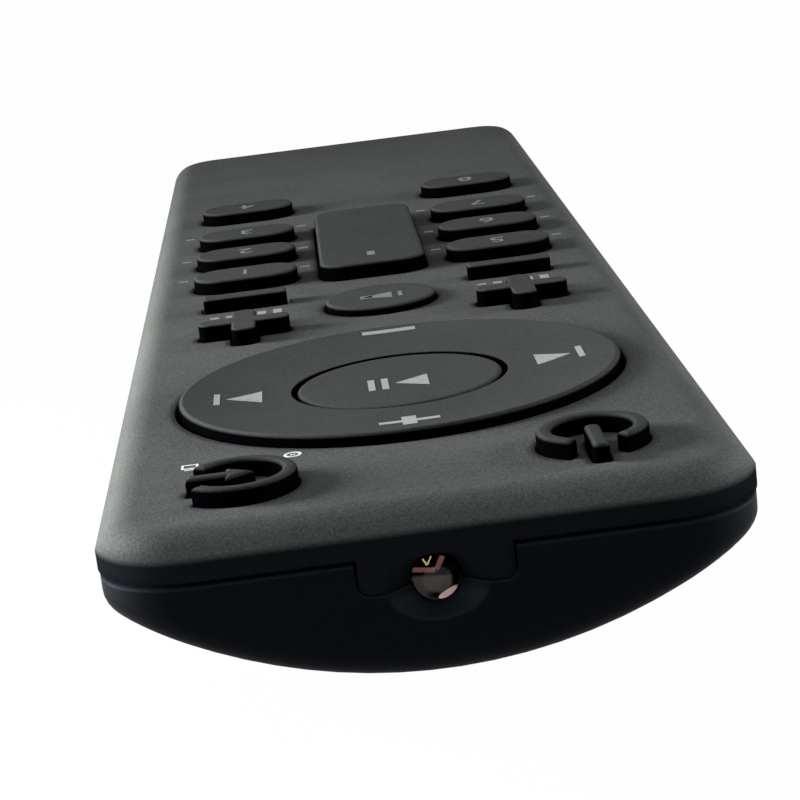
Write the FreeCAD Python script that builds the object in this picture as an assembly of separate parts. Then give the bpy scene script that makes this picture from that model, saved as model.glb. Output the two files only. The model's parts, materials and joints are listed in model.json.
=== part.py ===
import FreeCAD, Part
import math
import os
from FreeCAD import Vector

# A slim remote control: two moulded shells, sprung keys, a rocking ring and two AAA cells.
# z is up, y runs from the infrared end to the tail, and the case lies on z = 0.
# Distances called "along" are measured from the infrared end.

os.makedirs("parts", exist_ok=True)

# Case outline
LENGTH = 159.0
WIDTH = 42.0
CORNER_RADIUS = 6.0
TOP_WALL = 1.6
SIDE_WALL = 1.6
EDGE_ROUND = 2.6
EDGE_OVERSIZE = 0.1
EDGE_CORNER_RADIUS = 5.1
SKIRT_DROP = 3.0
PARTING_GROOVE = 0.35
LOWER_INSET = 0.1

# Tongue of the lower shell inside the skirt of the upper one
SKIRT_WALL = 0.75
SKIRT_REBATE_HEIGHT = 1.6
TONGUE_CLEARANCE = 0.1
TONGUE_WALL = 0.7
TONGUE_HEIGHT = 1.4

# Snap beads on the tongue, and the grooves in the skirt that they click into
SNAP_ALONG = (20.0, 76.0, 138.0)
SNAP_LENGTH = 8.0
SNAP_RADIUS = 0.35
SNAP_GAP = 0.1
SNAP_RISE = 0.75

# Belly: one arc across, and along the case a slope, an arc, a flat run, an arc and a slope
BELLY_ROUNDNESS = 0.857
BELLY_WALL = 1.4
REST_FLAT_DEPTH = 0.4
FRONT_SLOPE = 17.0
FRONT_ARC_RADIUS = 60.0
FRONT_ARC_ALONG = 35.6
TAIL_SLOPE = 20.0
TAIL_ARC_RADIUS = 40.0
TAIL_ARC_ALONG = 143.4
BELLY_EDGE_ROUND = 2.0

# Keys
KEY_GAP = 0.25
SYMBOL_GAP = 0.15
SKIRT_OVERHANG = 0.9
SKIRT_THICKNESS = 0.6
SKIRT_GAP = 0.2
KEY_TRAVEL = 0.8
KEY_EDGE_ROUND = 0.35
SYMBOL_EDGE_ROUND = 0.35
BAR_EDGE_ROUND = 0.2
KEY_ROUNDS = {"crossed": BAR_EDGE_ROUND, "bar": BAR_EDGE_ROUND, "open": SYMBOL_EDGE_ROUND,
              "solid": KEY_EDGE_ROUND}
PLUNGER_RADIUS = 2.2
CONTACT_RADIUS = 1.7
CONTACT_THICKNESS = 0.3
CONTACT_STOP_GAP = 0.1

KEY_MARGIN = 4.8
COLUMN_GAP = 2.05
PLUS_ALONG = 54.3
PLUS_SIZE = 7.5
PLUS_ARM = 2.0
PLUS_CORNER = 0.85
PLUS_HEIGHT = 1.35
MINUS_ALONG = 65.5
MINUS_SIZE = 7.2
MINUS_HEIGHT = 1.2
BAR_CORNER = 0.4
PILL_DEPTH = 5.6
PILL_CORNER = 2.6
PILL_HEIGHT = 1.2
PILL_ALONG = (75.4, 85.8, 96.1, 111.1)
ROUND_KEY_ALONG = 60.1
ROUND_KEY_RADIUS = 4.7
ROUND_KEY_HEIGHT = 0.65
TALL_KEY_ALONG = 86.3
TALL_KEY_WIDTH = 9.5
TALL_KEY_LENGTH = 29.4
TALL_KEY_CORNER = 2.2
TALL_KEY_HEIGHT = 1.35
POWER_MARGIN = 9.75
POWER_ALONG = 8.65
POWER_RADIUS = 3.65
POWER_RING_WIDTH = 1.05
POWER_GAP_ANGLE = 30.0
POWER_BAR_WIDTH = 1.1
POWER_BAR_NEAR = 4.7
POWER_BAR_FAR = -0.4
SOURCE_MARGIN = 9.4
SOURCE_ALONG = 8.65
SOURCE_RADIUS = 3.85
SOURCE_RING_WIDTH = 1.0
SOURCE_GAP_ANGLE = 40.0
SOURCE_SHAFT_WIDTH = 1.1
SOURCE_SHAFT_LEFT = 3.35
SOURCE_HEAD_BASE = -0.8
SOURCE_HEAD_TIP = 1.1
SOURCE_HEAD_HALF = 1.3
SYMBOL_HEIGHT = 1.2

# Four-way ring and the key in it
RING_ALONG = 31.3
RING_BAND = 8.23
RING_RIM_HEIGHT = 0.765
RING_INNER_HEIGHT = 0.257
RING_RIM_ROUND = 0.35
RING_GAP = 0.38
RING_BODY_DEPTH = 1.9
RING_WALL = 1.2
RING_FLANGE_REACH = 1.0
RING_FLANGE_TOP = 2.2
RING_FLANGE_THICKNESS = 0.5
RING_PLUNGER_INSET = 3.8
RING_PLUNGER_RADIUS = 1.6
RING_PLUNGER_STOP_GAP = 0.45
COLLAR_FLANGE_GAP = 0.5
COLLAR_PLUNGER_GAP = 0.4
COLLAR_TOP = 2.3
COLLAR_REST_GAP = 0.3
PLAY_GAP = 0.4
PLAY_HEIGHT = 0.25
PLAY_FLANGE_REACH = 0.33
PLAY_FLANGE_TOP = 2.3
PLAY_FLANGE_THICKNESS = 0.5
PLAY_TRAVEL = 0.5

# Circuit board and key mat
BOARD_DROP = 4.0
BOARD_THICKNESS = 1.0
BOARD_MARGIN = 2.8
BOARD_ROOF_GAP = 0.1
BOARD_FRONT_ALONG = 7.2
BOARD_BACK_ALONG = 117.0
BOARD_CORNER = 2.0
MAT_THICKNESS = 0.6
MAT_EDGE_INSET = 0.5
MAT_HOLE_GAP = 0.3
POST_RADIUS = 1.4
POST_MARGIN = 5.5
POST_ALONG = (12.0, 46.0, 66.0)
PRESS_PAD_RADIUS = 1.0
PRESS_PAD_MARGIN = 3.6
PRESS_PAD_ALONG = (12.0, 60.0, 103.2)

# Infrared window
TAB_HALF_WIDTH = 4.85
TAB_DROP = 5.32
TAB_CORNER = 0.7
TAB_GAP = 0.12
LED_DROP = 5.17
LED_RADIUS = 1.5
LED_LENGTH = 5.3
LED_TIP_ALONG = 0.35
LED_FLANGE_RADIUS = 1.9
LED_FLANGE_THICKNESS = 1.0
LED_HOLE_GAP = 0.12
DISH_DROP = 5.3
DISH_HALF_WIDTH = 3.35
DISH_HALF_HEIGHT = 2.13
DISH_DEPTH = 1.6
WINDOW_PAD_HALF_WIDTH = 4.4
WINDOW_PAD_DEPTH = 2.6
WINDOW_PAD_DROP = 8.2
LEAD_RADIUS = 0.25
LEAD_SPACING = 2.54
LEAD_HOLE_RADIUS = 0.4
LEAD_BEND_ALONG = 9.6

# Battery bay
CELL_RADIUS = 5.2
CELL_LENGTH = 44.5
CELL_APART = 2.0
CELL_FLOOR = 1.85
CELL_ROOF_GAP = 0.25
CELL_SIDE_GAP = 0.5
CELL_NUB_RADIUS = 1.9
CELL_NUB_LENGTH = 0.8
CELL_EDGE = 0.4
BAY_CENTRE_ALONG = 115.0
BAY_ROOF = 0.9
BAY_SIDE_WALL = 1.0
BAY_END_WALL = 1.0

# Battery cover
COVER_SIDE_LAP = 1.2
COVER_FRONT_LAP = 2.8
COVER_BACK_LAP = 3.0
COVER_CORNER = 2.0
COVER_GAP = 0.2
COVER_SEAT_GAP = 0.15
LEDGE_THICKNESS = 1.0
LEDGE_MARGIN = 1.7
HOOK_X = 6.0
HOOK_WIDTH = 3.0
HOOK_ROOT = 1.2
HOOK_REACH = 1.5
HOOK_BOTTOM = 2.1
HOOK_THICKNESS = 0.8
HOOK_SLOT_GAP = 0.3
HOOK_SLOT_TOP = 3.4
LATCH_HALF_WIDTH = 4.0
LATCH_THICKNESS = 0.8
LATCH_HEIGHT = 4.6
LATCH_INSET = 1.0
NIB_BOTTOM = 1.6
NIB_TOP = 2.4
NIB_GAP = 0.15
THUMB_LENGTH = 6.0
THUMB_HALF_WIDTH = 5.0
THUMB_DEPTH = 0.6
THUMB_RIB_WIDTH = 0.5
THUMB_RIB_PITCH = 1.5
THUMB_RIBS = 3
THUMB_MARGIN = 3.0

# Battery contacts
PLATE_THICKNESS = 0.4
PLATE_HALF_WIDTH = 4.2
PLATE_BELOW_CENTRE = 3.45
PLATE_ABOVE_CENTRE = 4.35
PLATE_SEAT_GAP = 0.05
TERMINAL_TAB_HALF_WIDTH = 1.0
TERMINAL_TAB_TOP = 0.6
TERMINAL_SLOT_GAP = 0.2
SPRING_LENGTH = 4.6
SPRING_WIRE_RADIUS = 0.22
SPRING_BASE_RADIUS = 3.4
SPRING_TIP_RADIUS = 2.0
SPRING_TURNS = 4

# Screws
SCREW_ALONG = (105.2, 133.0)
SCREW_BOSS_RADIUS = 2.6
SCREW_BOSS_GAP = 0.3
SCREW_PILOT_RADIUS = 1.0
SCREW_SHANK_RADIUS = 0.95
SCREW_HOLE_RADIUS = 1.2
SCREW_HEAD_RADIUS = 1.9
SCREW_HEAD_HEIGHT = 1.3
SCREW_TIP_GAP = 0.3
SCREW_SLOT_WIDTH = 0.5
SCREW_SLOT_DEPTH = 0.5

# Parts soldered under the circuit board: width, depth, height, place across, place along
IC_SIZE = (7.6, 12.8, 2.3)
IC_PLACE = (0.0, 52.0)
RESONATOR_SIZE = (7.0, 3.0, 3.2)
RESONATOR_PLACE = (8.5, 60.0)
TRANSISTOR_SIZE = (2.9, 1.6, 1.1)
TRANSISTOR_PLACE = (6.0, 16.0)
CAPACITOR_RADIUS = 2.5
CAPACITOR_LENGTH = 7.0
CAPACITOR_PLACE = (-9.5, 76.0)
RESISTOR_SIZE = (2.0, 1.25, 0.5)
RESISTOR_X = -9.0
RESISTOR_ALONG = 40.0
RESISTOR_PITCH = 4.0
RESISTOR_COUNT = 5

# Sizes and places worked out from the sizes above
BELLY_RADIUS = WIDTH * BELLY_ROUNDNESS
CELL_X = CELL_RADIUS + CELL_APART / 2
CELL_CENTRE_HEIGHT = CELL_RADIUS + CELL_FLOOR
BAY_LENGTH = CELL_LENGTH + SPRING_LENGTH + 2 * (PLATE_THICKNESS + PLATE_SEAT_GAP)
BAY_HALF_WIDTH = CELL_X + CELL_RADIUS + CELL_SIDE_GAP
BAY_CEILING = CELL_CENTRE_HEIGHT + CELL_RADIUS + CELL_ROOF_GAP
BAY_ROOF_TOP = BAY_CEILING + BAY_ROOF
BAY_FRONT_ALONG = BAY_CENTRE_ALONG - BAY_LENGTH / 2
BAY_BACK_ALONG = BAY_CENTRE_ALONG + BAY_LENGTH / 2
COVER_HALF_WIDTH = BAY_HALF_WIDTH + COVER_SIDE_LAP
COVER_FRONT_ALONG = BAY_FRONT_ALONG - COVER_FRONT_LAP
COVER_BACK_ALONG = BAY_BACK_ALONG + COVER_BACK_LAP
PLATE_BOTTOM = CELL_CENTRE_HEIGHT - PLATE_BELOW_CENTRE
PLATE_TOP = CELL_CENTRE_HEIGHT + PLATE_ABOVE_CENTRE
CASE_HEIGHT = BAY_ROOF_TOP + BOARD_ROOF_GAP + BOARD_THICKNESS + BOARD_DROP
BOARD_HALF_WIDTH = WIDTH / 2 - BOARD_MARGIN
POST_X = WIDTH / 2 - POST_MARGIN
PRESS_PAD_X = WIDTH / 2 - PRESS_PAD_MARGIN
POWER_X = WIDTH / 2 - POWER_MARGIN
SOURCE_X = SOURCE_MARGIN - WIDTH / 2
PILL_INNER_X = TALL_KEY_WIDTH / 2 + COLUMN_GAP
PILL_OUTER_X = WIDTH / 2 - KEY_MARGIN
PILL_WIDTH = PILL_OUTER_X - PILL_INNER_X
COLUMN_X = (PILL_OUTER_X + PILL_INNER_X) / 2
RING_RADIUS = WIDTH / 2 - KEY_MARGIN
RING_SKIRT_INNER_RADIUS = RING_RADIUS - RING_WALL
RING_FLANGE_RADIUS = RING_RADIUS + RING_FLANGE_REACH
RING_PLUNGER_ORBIT = RING_RADIUS - RING_PLUNGER_INSET
RING_HOLE_RADIUS = RING_RADIUS - RING_BAND
PLAY_FLANGE_RADIUS = RING_HOLE_RADIUS + PLAY_FLANGE_REACH
COLLAR_INNER_RADIUS = PLAY_FLANGE_RADIUS + COLLAR_FLANGE_GAP
COLLAR_OUTER_RADIUS = RING_PLUNGER_ORBIT - RING_PLUNGER_RADIUS - COLLAR_PLUNGER_GAP
SKIRT_LEVEL = CASE_HEIGHT - SKIRT_DROP
LOWER_RIM_LEVEL = SKIRT_LEVEL - PARTING_GROOVE
CEILING_LEVEL = CASE_HEIGHT - TOP_WALL
BOARD_TOP = CASE_HEIGHT - BOARD_DROP
BOARD_BOTTOM = BOARD_TOP - BOARD_THICKNESS
MAT_TOP = BOARD_TOP + MAT_THICKNESS
KEY_SKIRT_TOP = CEILING_LEVEL - SKIRT_GAP
KEY_SKIRT_BOTTOM = KEY_SKIRT_TOP - SKIRT_THICKNESS
LED_LEVEL = CASE_HEIGHT - LED_DROP
PLAY_RADIUS = RING_HOLE_RADIUS - PLAY_GAP


def at(along):
    """The y of a place measured from the infrared end."""
    return along - LENGTH / 2


def rounded_rectangle(x, y, width, depth, radius):
    """A flat face at z = 0 with four round corners."""
    left, right = x - width / 2, x + width / 2
    near, far = y - depth / 2, y + depth / 2
    corners = ((right - radius, far - radius, 0), (left + radius, far - radius, 90),
               (left + radius, near + radius, 180), (right - radius, near + radius, 270))
    edges = []
    ends = []
    for centre_x, centre_y, start in corners:
        circle = Part.Circle(Vector(centre_x, centre_y, 0), Vector(0, 0, 1), radius)
        arc = Part.ArcOfCircle(circle, math.radians(start), math.radians(start + 90)).toShape()
        ends.append((arc.Vertexes[0].Point, arc.Vertexes[1].Point))
        edges.append(arc)
    for index in range(len(corners)):
        start = ends[index][1]
        end = ends[(index + 1) % len(corners)][0]
        if start.distanceToPoint(end) > 1e-6:
            edges.append(Part.LineSegment(start, end).toShape())
    return Part.Face(Part.Wire(Part.__sortEdges__(edges)))


def disc(x, y, radius):
    """A round flat face at z = 0."""
    return Part.Face(Part.Wire(Part.makeCircle(radius, Vector(x, y, 0))))


def polygon(points):
    """A flat face at z = 0 through the points, closed by itself."""
    corners = [Vector(x, y, 0) for x, y in points]
    return Part.Face(Part.makePolygon(corners + corners[:1]))


def open_ring(x, y, outer, width, gap_angle, gap_direction):
    """A ring sector at z = 0 whose gap opens towards gap_direction, in degrees."""
    start = math.radians(gap_direction + gap_angle)
    end = math.radians(gap_direction - gap_angle + 360)
    centre = Vector(x, y, 0)
    edges = []
    for radius in (outer, outer - width):
        circle = Part.Circle(centre, Vector(0, 0, 1), radius)
        edges.append(Part.ArcOfCircle(circle, start, end).toShape())
    for angle in (start, end):
        toward = Vector(math.cos(angle), math.sin(angle), 0)
        edges.append(Part.LineSegment(centre + toward * (outer - width), centre + toward * outer).toShape())
    return Part.Face(Part.Wire(Part.__sortEdges__(edges)))


def grown(face, amount):
    """The face with its outline moved outwards."""
    return face.makeOffset2D(amount, 0)


def slab(face, bottom, top):
    """A flat face at z = 0 stood up as a solid between two levels."""
    lifted = face.copy()
    lifted.translate(Vector(0, 0, bottom))
    return lifted.extrude(Vector(0, 0, top - bottom))


def block(left, right, near, far, bottom, top):
    """A box between three pairs of planes."""
    return Part.makeBox(right - left, far - near, top - bottom, Vector(left, near, bottom))


def rod(x, y, radius, bottom, top):
    """An upright cylinder between two levels."""
    return Part.makeCylinder(radius, top - bottom, Vector(x, y, bottom))


def joined(shapes):
    """One solid from overlapping shapes, without seams."""
    return shapes[0].multiFuse(list(shapes[1:])).removeSplitter()


def edges_at_level(solid, level):
    """The edges that lie wholly in one level."""
    return [edge for edge in solid.Edges if all(abs(v.Z - level) < 1e-5 for v in edge.Vertexes)]


def case_outline(inset, corner=None):
    """The plan of the case, moved in from its side by inset."""
    radius = CORNER_RADIUS - inset if corner is None else corner
    return rounded_rectangle(0, 0, WIDTH - 2 * inset, LENGTH - 2 * inset, radius)


def belly_section(wall, y):
    """The upright section across the case: the belly arc below, straight sides and a flat top."""
    radius = BELLY_RADIUS - wall
    half = WIDTH / 2 + 1
    keel = wall - REST_FLAT_DEPTH
    rise = keel + radius - math.sqrt(radius ** 2 - half ** 2)
    top = CASE_HEIGHT + WIDTH / 4
    arc = Part.Arc(Vector(-half, y, rise), Vector(0, y, keel), Vector(half, y, rise)).toShape()
    sides = Part.makePolygon([Vector(half, y, rise), Vector(half, y, top),
                              Vector(-half, y, top), Vector(-half, y, rise)])
    return Part.Face(Part.Wire([arc] + sides.Edges))


def belly_end(wall, along, arc_radius, slope, sign):
    """The upward bend and the straight slope at one end of the belly."""
    section = belly_section(wall, at(along))
    centre = Vector(0, at(along), arc_radius - REST_FLAT_DEPTH)
    axis = Vector(1, 0, 0)
    bend = section.revolve(centre, axis, sign * slope)
    section.rotate(centre, axis, sign * slope)
    angle = math.radians(slope)
    run = Vector(0, sign * math.cos(angle), math.sin(angle)) * FRONT_ARC_ALONG
    return [bend, section.extrude(run)]


def belly_tool(wall):
    """Everything above the underside, moved in by wall."""
    flat = belly_section(wall, at(FRONT_ARC_ALONG)).extrude(Vector(0, TAIL_ARC_ALONG - FRONT_ARC_ALONG, 0))
    pieces = [flat]
    pieces.extend(belly_end(wall, FRONT_ARC_ALONG, FRONT_ARC_RADIUS, FRONT_SLOPE, -1))
    pieces.extend(belly_end(wall, TAIL_ARC_ALONG, TAIL_ARC_RADIUS, TAIL_SLOPE, 1))
    return joined(pieces)


def belly_surface_level(x, wall):
    """The level of the underside across its flat run, moved in by wall."""
    radius = BELLY_RADIUS - wall
    return BELLY_RADIUS - REST_FLAT_DEPTH - math.sqrt(radius ** 2 - x ** 2)


def screw_places():
    """The two screws on the centre line."""
    return [(0.0, at(along)) for along in SCREW_ALONG]


def power_outline():
    """The power symbol: a ring open to the front with a bar in its gap."""
    y = at(POWER_ALONG)
    ring = open_ring(POWER_X, y, POWER_RADIUS, POWER_RING_WIDTH, POWER_GAP_ANGLE, 270)
    bar_length = POWER_BAR_NEAR - POWER_BAR_FAR
    bar_y = y - (POWER_BAR_NEAR + POWER_BAR_FAR) / 2
    bar = rounded_rectangle(POWER_X, bar_y, POWER_BAR_WIDTH, bar_length, BAR_CORNER)
    return [ring, bar]


def source_outline():
    """An arrow that enters a circle from the side."""
    y = at(SOURCE_ALONG)
    ring = open_ring(SOURCE_X, y, SOURCE_RADIUS, SOURCE_RING_WIDTH, SOURCE_GAP_ANGLE, 180)
    left = SOURCE_X - SOURCE_SHAFT_LEFT
    base = SOURCE_X + SOURCE_HEAD_BASE
    half = SOURCE_SHAFT_WIDTH / 2
    arrow = polygon([(left, y - half), (base, y - half), (base, y - SOURCE_HEAD_HALF),
                     (SOURCE_X + SOURCE_HEAD_TIP, y),
                     (base, y + SOURCE_HEAD_HALF), (base, y + half), (left, y + half)])
    return [ring, arrow]


def plus_outline(x):
    """Two crossed bars."""
    y = at(PLUS_ALONG)
    across = rounded_rectangle(x, y, PLUS_SIZE, PLUS_ARM, PLUS_CORNER)
    along = rounded_rectangle(x, y, PLUS_ARM, PLUS_SIZE, PLUS_CORNER)
    return [across, along]


def key_list():
    """Every sprung key of the case: name, outlines, skirt, height, gap and plunger place."""
    keys = []
    overhang = SKIRT_OVERHANG
    power_y = at(POWER_ALONG)
    source_y = at(SOURCE_ALONG)
    keys.append(("power_key", power_outline(), disc(POWER_X, power_y, POWER_RADIUS + overhang),
                 SYMBOL_HEIGHT, SYMBOL_GAP, (POWER_X, power_y)))
    keys.append(("source_key", source_outline(), disc(SOURCE_X, source_y, SOURCE_RADIUS + overhang),
                 SYMBOL_HEIGHT, SYMBOL_GAP, (SOURCE_X, source_y)))
    for side, x in (("left", -COLUMN_X), ("right", COLUMN_X)):
        y = at(PLUS_ALONG)
        size = PLUS_SIZE + 2 * overhang
        skirt = rounded_rectangle(x, y, size, size, PLUS_ARM)
        keys.append(("plus_key_" + side, plus_outline(x), skirt, PLUS_HEIGHT, KEY_GAP, (x, y)))
        y = at(MINUS_ALONG)
        bar = rounded_rectangle(x, y, MINUS_SIZE, PLUS_ARM, BAR_CORNER)
        skirt = rounded_rectangle(x, y, MINUS_SIZE + 2 * overhang, PLUS_ARM + 2 * overhang, overhang)
        keys.append(("minus_key_" + side, [bar], skirt, MINUS_HEIGHT, KEY_GAP, (x, y)))
        for number, along in enumerate(PILL_ALONG, 1):
            y = at(along)
            pill = rounded_rectangle(x, y, PILL_WIDTH, PILL_DEPTH, PILL_CORNER)
            keys.append(("pill_key_%s_%d" % (side, number), [pill], grown(pill, overhang),
                         PILL_HEIGHT, KEY_GAP, (x, y)))
    y = at(ROUND_KEY_ALONG)
    keys.append(("round_key", [disc(0, y, ROUND_KEY_RADIUS)], disc(0, y, ROUND_KEY_RADIUS + overhang),
                 ROUND_KEY_HEIGHT, KEY_GAP, (0, y)))
    y = at(TALL_KEY_ALONG)
    tall = rounded_rectangle(0, y, TALL_KEY_WIDTH, TALL_KEY_LENGTH, TALL_KEY_CORNER)
    keys.append(("tall_key", [tall], grown(tall, overhang), TALL_KEY_HEIGHT, KEY_GAP, (0, y)))
    return keys


def key_cap(outlines, skirt, height, symbol):
    """A raised cap on its skirt, with a short plunger below."""
    top = CASE_HEIGHT + height
    caps = [slab(outline, KEY_SKIRT_BOTTOM, top) for outline in outlines]
    if symbol == "crossed":
        cap = joined(caps)
    elif symbol == "open":
        cap = Part.makeCompound(caps)
    else:
        cap = caps[0]
    cap = cap.makeFillet(KEY_ROUNDS[symbol], edges_at_level(cap, top))
    return cap.fuse(slab(skirt, KEY_SKIRT_BOTTOM, KEY_SKIRT_TOP)).removeSplitter()


def contact_bottom(travel):
    """The level of a carbon contact at rest, so that the travel ends just above the board."""
    return BOARD_TOP + travel + CONTACT_STOP_GAP


def keys_and_contacts():
    """The caps with their plungers, and the carbon contact on each plunger."""
    parts = {}
    for name, outlines, skirt, height, gap, (x, y) in key_list():
        if name.startswith("plus"):
            symbol = "crossed"
        elif name.startswith("minus"):
            symbol = "bar"
        elif gap == SYMBOL_GAP:
            symbol = "open"
        else:
            symbol = "solid"
        contact = contact_bottom(KEY_TRAVEL)
        plunger = rod(x, y, PLUNGER_RADIUS, contact + CONTACT_THICKNESS, KEY_SKIRT_BOTTOM)
        parts[name] = key_cap(outlines, skirt, height, symbol).fuse(plunger)
        parts[name + "_contact"] = rod(x, y, CONTACT_RADIUS, contact, contact + CONTACT_THICKNESS)
    return parts


def key_openings():
    """The holes of the upper shell, one per outline, plus the round one of the ring."""
    bottom = CEILING_LEVEL - 1
    top = CASE_HEIGHT + 1
    holes = []
    for name, outlines, skirt, height, gap, place in key_list():
        holes.extend(slab(grown(outline, gap), bottom, top) for outline in outlines)
    holes.append(rod(0, at(RING_ALONG), RING_RADIUS + RING_GAP, bottom, top))
    return holes


def window_dish():
    """The oval funnel round the infrared lens, and the hole behind it."""
    front = at(0)
    level = CASE_HEIGHT - DISH_DROP
    major = Vector(DISH_HALF_WIDTH, front, level)
    minor = Vector(0, front, level + DISH_HALF_HEIGHT)
    oval = Part.Ellipse(major, minor, Vector(0, front, level)).toShape()
    circle = Part.makeCircle(LED_RADIUS + LED_HOLE_GAP, Vector(0, front + DISH_DEPTH, LED_LEVEL),
                             Vector(0, -1, 0))
    funnel = Part.makeLoft([Part.Wire(oval), Part.Wire(circle)], True, True)
    hole = Part.makeCylinder(LED_RADIUS + LED_HOLE_GAP, WINDOW_PAD_DEPTH + 1,
                             Vector(0, front + DISH_DEPTH / 2, LED_LEVEL), Vector(0, 1, 0))
    return [funnel, hole]


def window_pad(bottom, top):
    """The thick place behind the infrared dish that holds the lens."""
    return block(-WINDOW_PAD_HALF_WIDTH, WINDOW_PAD_HALF_WIDTH, at(SIDE_WALL / 2),
                 at(WINDOW_PAD_DEPTH), bottom, top)


def window_tab(grow):
    """The tongue of the upper shell's front that reaches down round the lens."""
    half = TAB_HALF_WIDTH + grow
    bottom = CASE_HEIGHT - TAB_DROP - grow
    top = SKIRT_LEVEL + SKIRT_REBATE_HEIGHT
    front = at(0) if grow == 0 else at(-1)
    depth = at(SIDE_WALL) - front if grow == 0 else WINDOW_PAD_DEPTH + 2
    tab = Part.makeBox(2 * half, depth, top - bottom, Vector(-half, front, bottom))
    corners = [edge for edge in tab.Edges
               if abs(edge.Vertexes[0].Z - bottom) < 1e-6 and abs(edge.Vertexes[1].Z - bottom) < 1e-6
               and abs(edge.Vertexes[0].X - edge.Vertexes[1].X) < 1e-6]
    return tab.makeFillet(TAB_CORNER + grow, corners)


def snap_beads(gap):
    """The long beads on the outer faces of the tongue, grown by gap."""
    x = WIDTH / 2 - SKIRT_WALL - TONGUE_CLEARANCE
    level = SKIRT_LEVEL + SNAP_RISE
    half = SNAP_LENGTH / 2 + gap
    return [Part.makeCylinder(SNAP_RADIUS + gap, 2 * half, Vector(side * x, at(along) - half, level),
                              Vector(0, 1, 0))
            for side in (-1, 1) for along in SNAP_ALONG]


def top_shell():
    """The upper shell: soft top edge, skirt with a rebate, openings, bosses and press pads."""
    pad_bottom = CASE_HEIGHT - TAB_DROP
    plain = slab(case_outline(0), SKIRT_LEVEL, CASE_HEIGHT)
    soft = slab(case_outline(-EDGE_OVERSIZE, EDGE_CORNER_RADIUS), pad_bottom, CASE_HEIGHT)
    soft = soft.makeFillet(EDGE_ROUND, edges_at_level(soft, CASE_HEIGHT))
    shell = plain.common(soft)
    shell = shell.cut(slab(case_outline(SIDE_WALL), SKIRT_LEVEL - 1, CEILING_LEVEL))
    rebate_top = SKIRT_LEVEL + SKIRT_REBATE_HEIGHT
    shell = shell.cut(slab(case_outline(SKIRT_WALL), SKIRT_LEVEL - 1, rebate_top))
    additions = [window_tab(0).common(soft), window_pad(pad_bottom, CEILING_LEVEL)]
    for x, y in screw_places():
        additions.append(rod(x, y, SCREW_BOSS_RADIUS, BAY_ROOF_TOP, CEILING_LEVEL + TOP_WALL / 4))
    for along in PRESS_PAD_ALONG:
        for x in (-PRESS_PAD_X, PRESS_PAD_X):
            additions.append(rod(x, at(along), PRESS_PAD_RADIUS, MAT_TOP, CEILING_LEVEL + TOP_WALL / 4))
    shell = shell.multiFuse(additions)
    cuts = key_openings() + window_dish() + snap_beads(SNAP_GAP)
    for x, y in screw_places():
        cuts.append(rod(x, y, SCREW_PILOT_RADIUS, BAY_ROOF_TOP - 1, CASE_HEIGHT - TOP_WALL + SCREW_TIP_GAP))
    return shell.cut(cuts).removeSplitter()


def lower_body():
    """The outer form of the lower half, with a small round where the belly meets the sides."""
    outline = case_outline(LOWER_INSET)
    body = slab(outline, 0, LOWER_RIM_LEVEL).common(belly_tool(0))
    half_width = WIDTH / 2 - LOWER_INSET
    half_length = LENGTH / 2 - LOWER_INSET
    corner = CORNER_RADIUS - LOWER_INSET

    def on_side(point):
        across = max(abs(point.x) - (half_width - corner), 0)
        along = max(abs(point.y) - (half_length - corner), 0)
        return abs(math.hypot(across, along) - corner) < 1e-3

    rounded = []
    for edge in body.Edges:
        points = edge.discretize(5)
        levels = [point.z for point in points]
        upright = max(levels) - min(levels) > 0.1 and math.hypot(
            points[0].x - points[-1].x, points[0].y - points[-1].y) < 1e-3
        if all(on_side(point) for point in points) and max(levels) < LOWER_RIM_LEVEL - 1 and not upright:
            rounded.append(edge)
    return body.makeFillet(BELLY_EDGE_ROUND, rounded)


def belly_cylinder(wall):
    """The round of the belly's flat run as a long cylinder, moved in by wall."""
    return Part.makeCylinder(BELLY_RADIUS - wall, LENGTH, Vector(0, -LENGTH / 2, BELLY_RADIUS - REST_FLAT_DEPTH),
                             Vector(0, 1, 0))


def cover_plan(grow):
    """The plan of the battery cover, moved outwards by grow."""
    middle = (COVER_FRONT_ALONG + COVER_BACK_ALONG) / 2
    length = COVER_BACK_ALONG - COVER_FRONT_ALONG
    return rounded_rectangle(0, at(middle), 2 * (COVER_HALF_WIDTH + grow), length + 2 * grow, COVER_CORNER + grow)


def cover_space(side_gap, seat_gap, depth):
    """The slice of the belly wall that the battery cover fills, grown by its gaps, from below the case."""
    reach = belly_surface_level(COVER_HALF_WIDTH + side_gap, BELLY_WALL + seat_gap) + 1
    return slab(cover_plan(side_gap), -depth, reach).cut(belly_cylinder(BELLY_WALL + seat_gap))


def cover_ledge():
    """The inner rim round the battery opening on which the cover seats."""
    wall = BELLY_WALL + COVER_SEAT_GAP + LEDGE_THICKNESS
    reach = belly_surface_level(COVER_HALF_WIDTH + LEDGE_MARGIN, wall) + 1
    ledge = slab(cover_plan(LEDGE_MARGIN), 0, reach)
    return ledge.common(belly_cylinder(BELLY_WALL / 2)).cut(belly_cylinder(wall))


def hook_slot(x):
    """The room that one hook of the battery cover needs in the ledge and the bay's front wall."""
    half = HOOK_WIDTH / 2 + HOOK_SLOT_GAP
    bottom = belly_surface_level(abs(x) - half, BELLY_WALL)
    return block(x - half, x + half, at(COVER_FRONT_ALONG - HOOK_REACH) - HOOK_SLOT_GAP,
                 at(BAY_FRONT_ALONG), bottom, HOOK_SLOT_TOP)


def latch_slot():
    """The room that the latch blade of the battery cover needs in the ledge."""
    half = LATCH_HALF_WIDTH + HOOK_SLOT_GAP
    return block(-half, half, at(BAY_BACK_ALONG + BAY_END_WALL), at(COVER_BACK_ALONG) + COVER_GAP, 0,
                 LATCH_HEIGHT + HOOK_SLOT_GAP)


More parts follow.
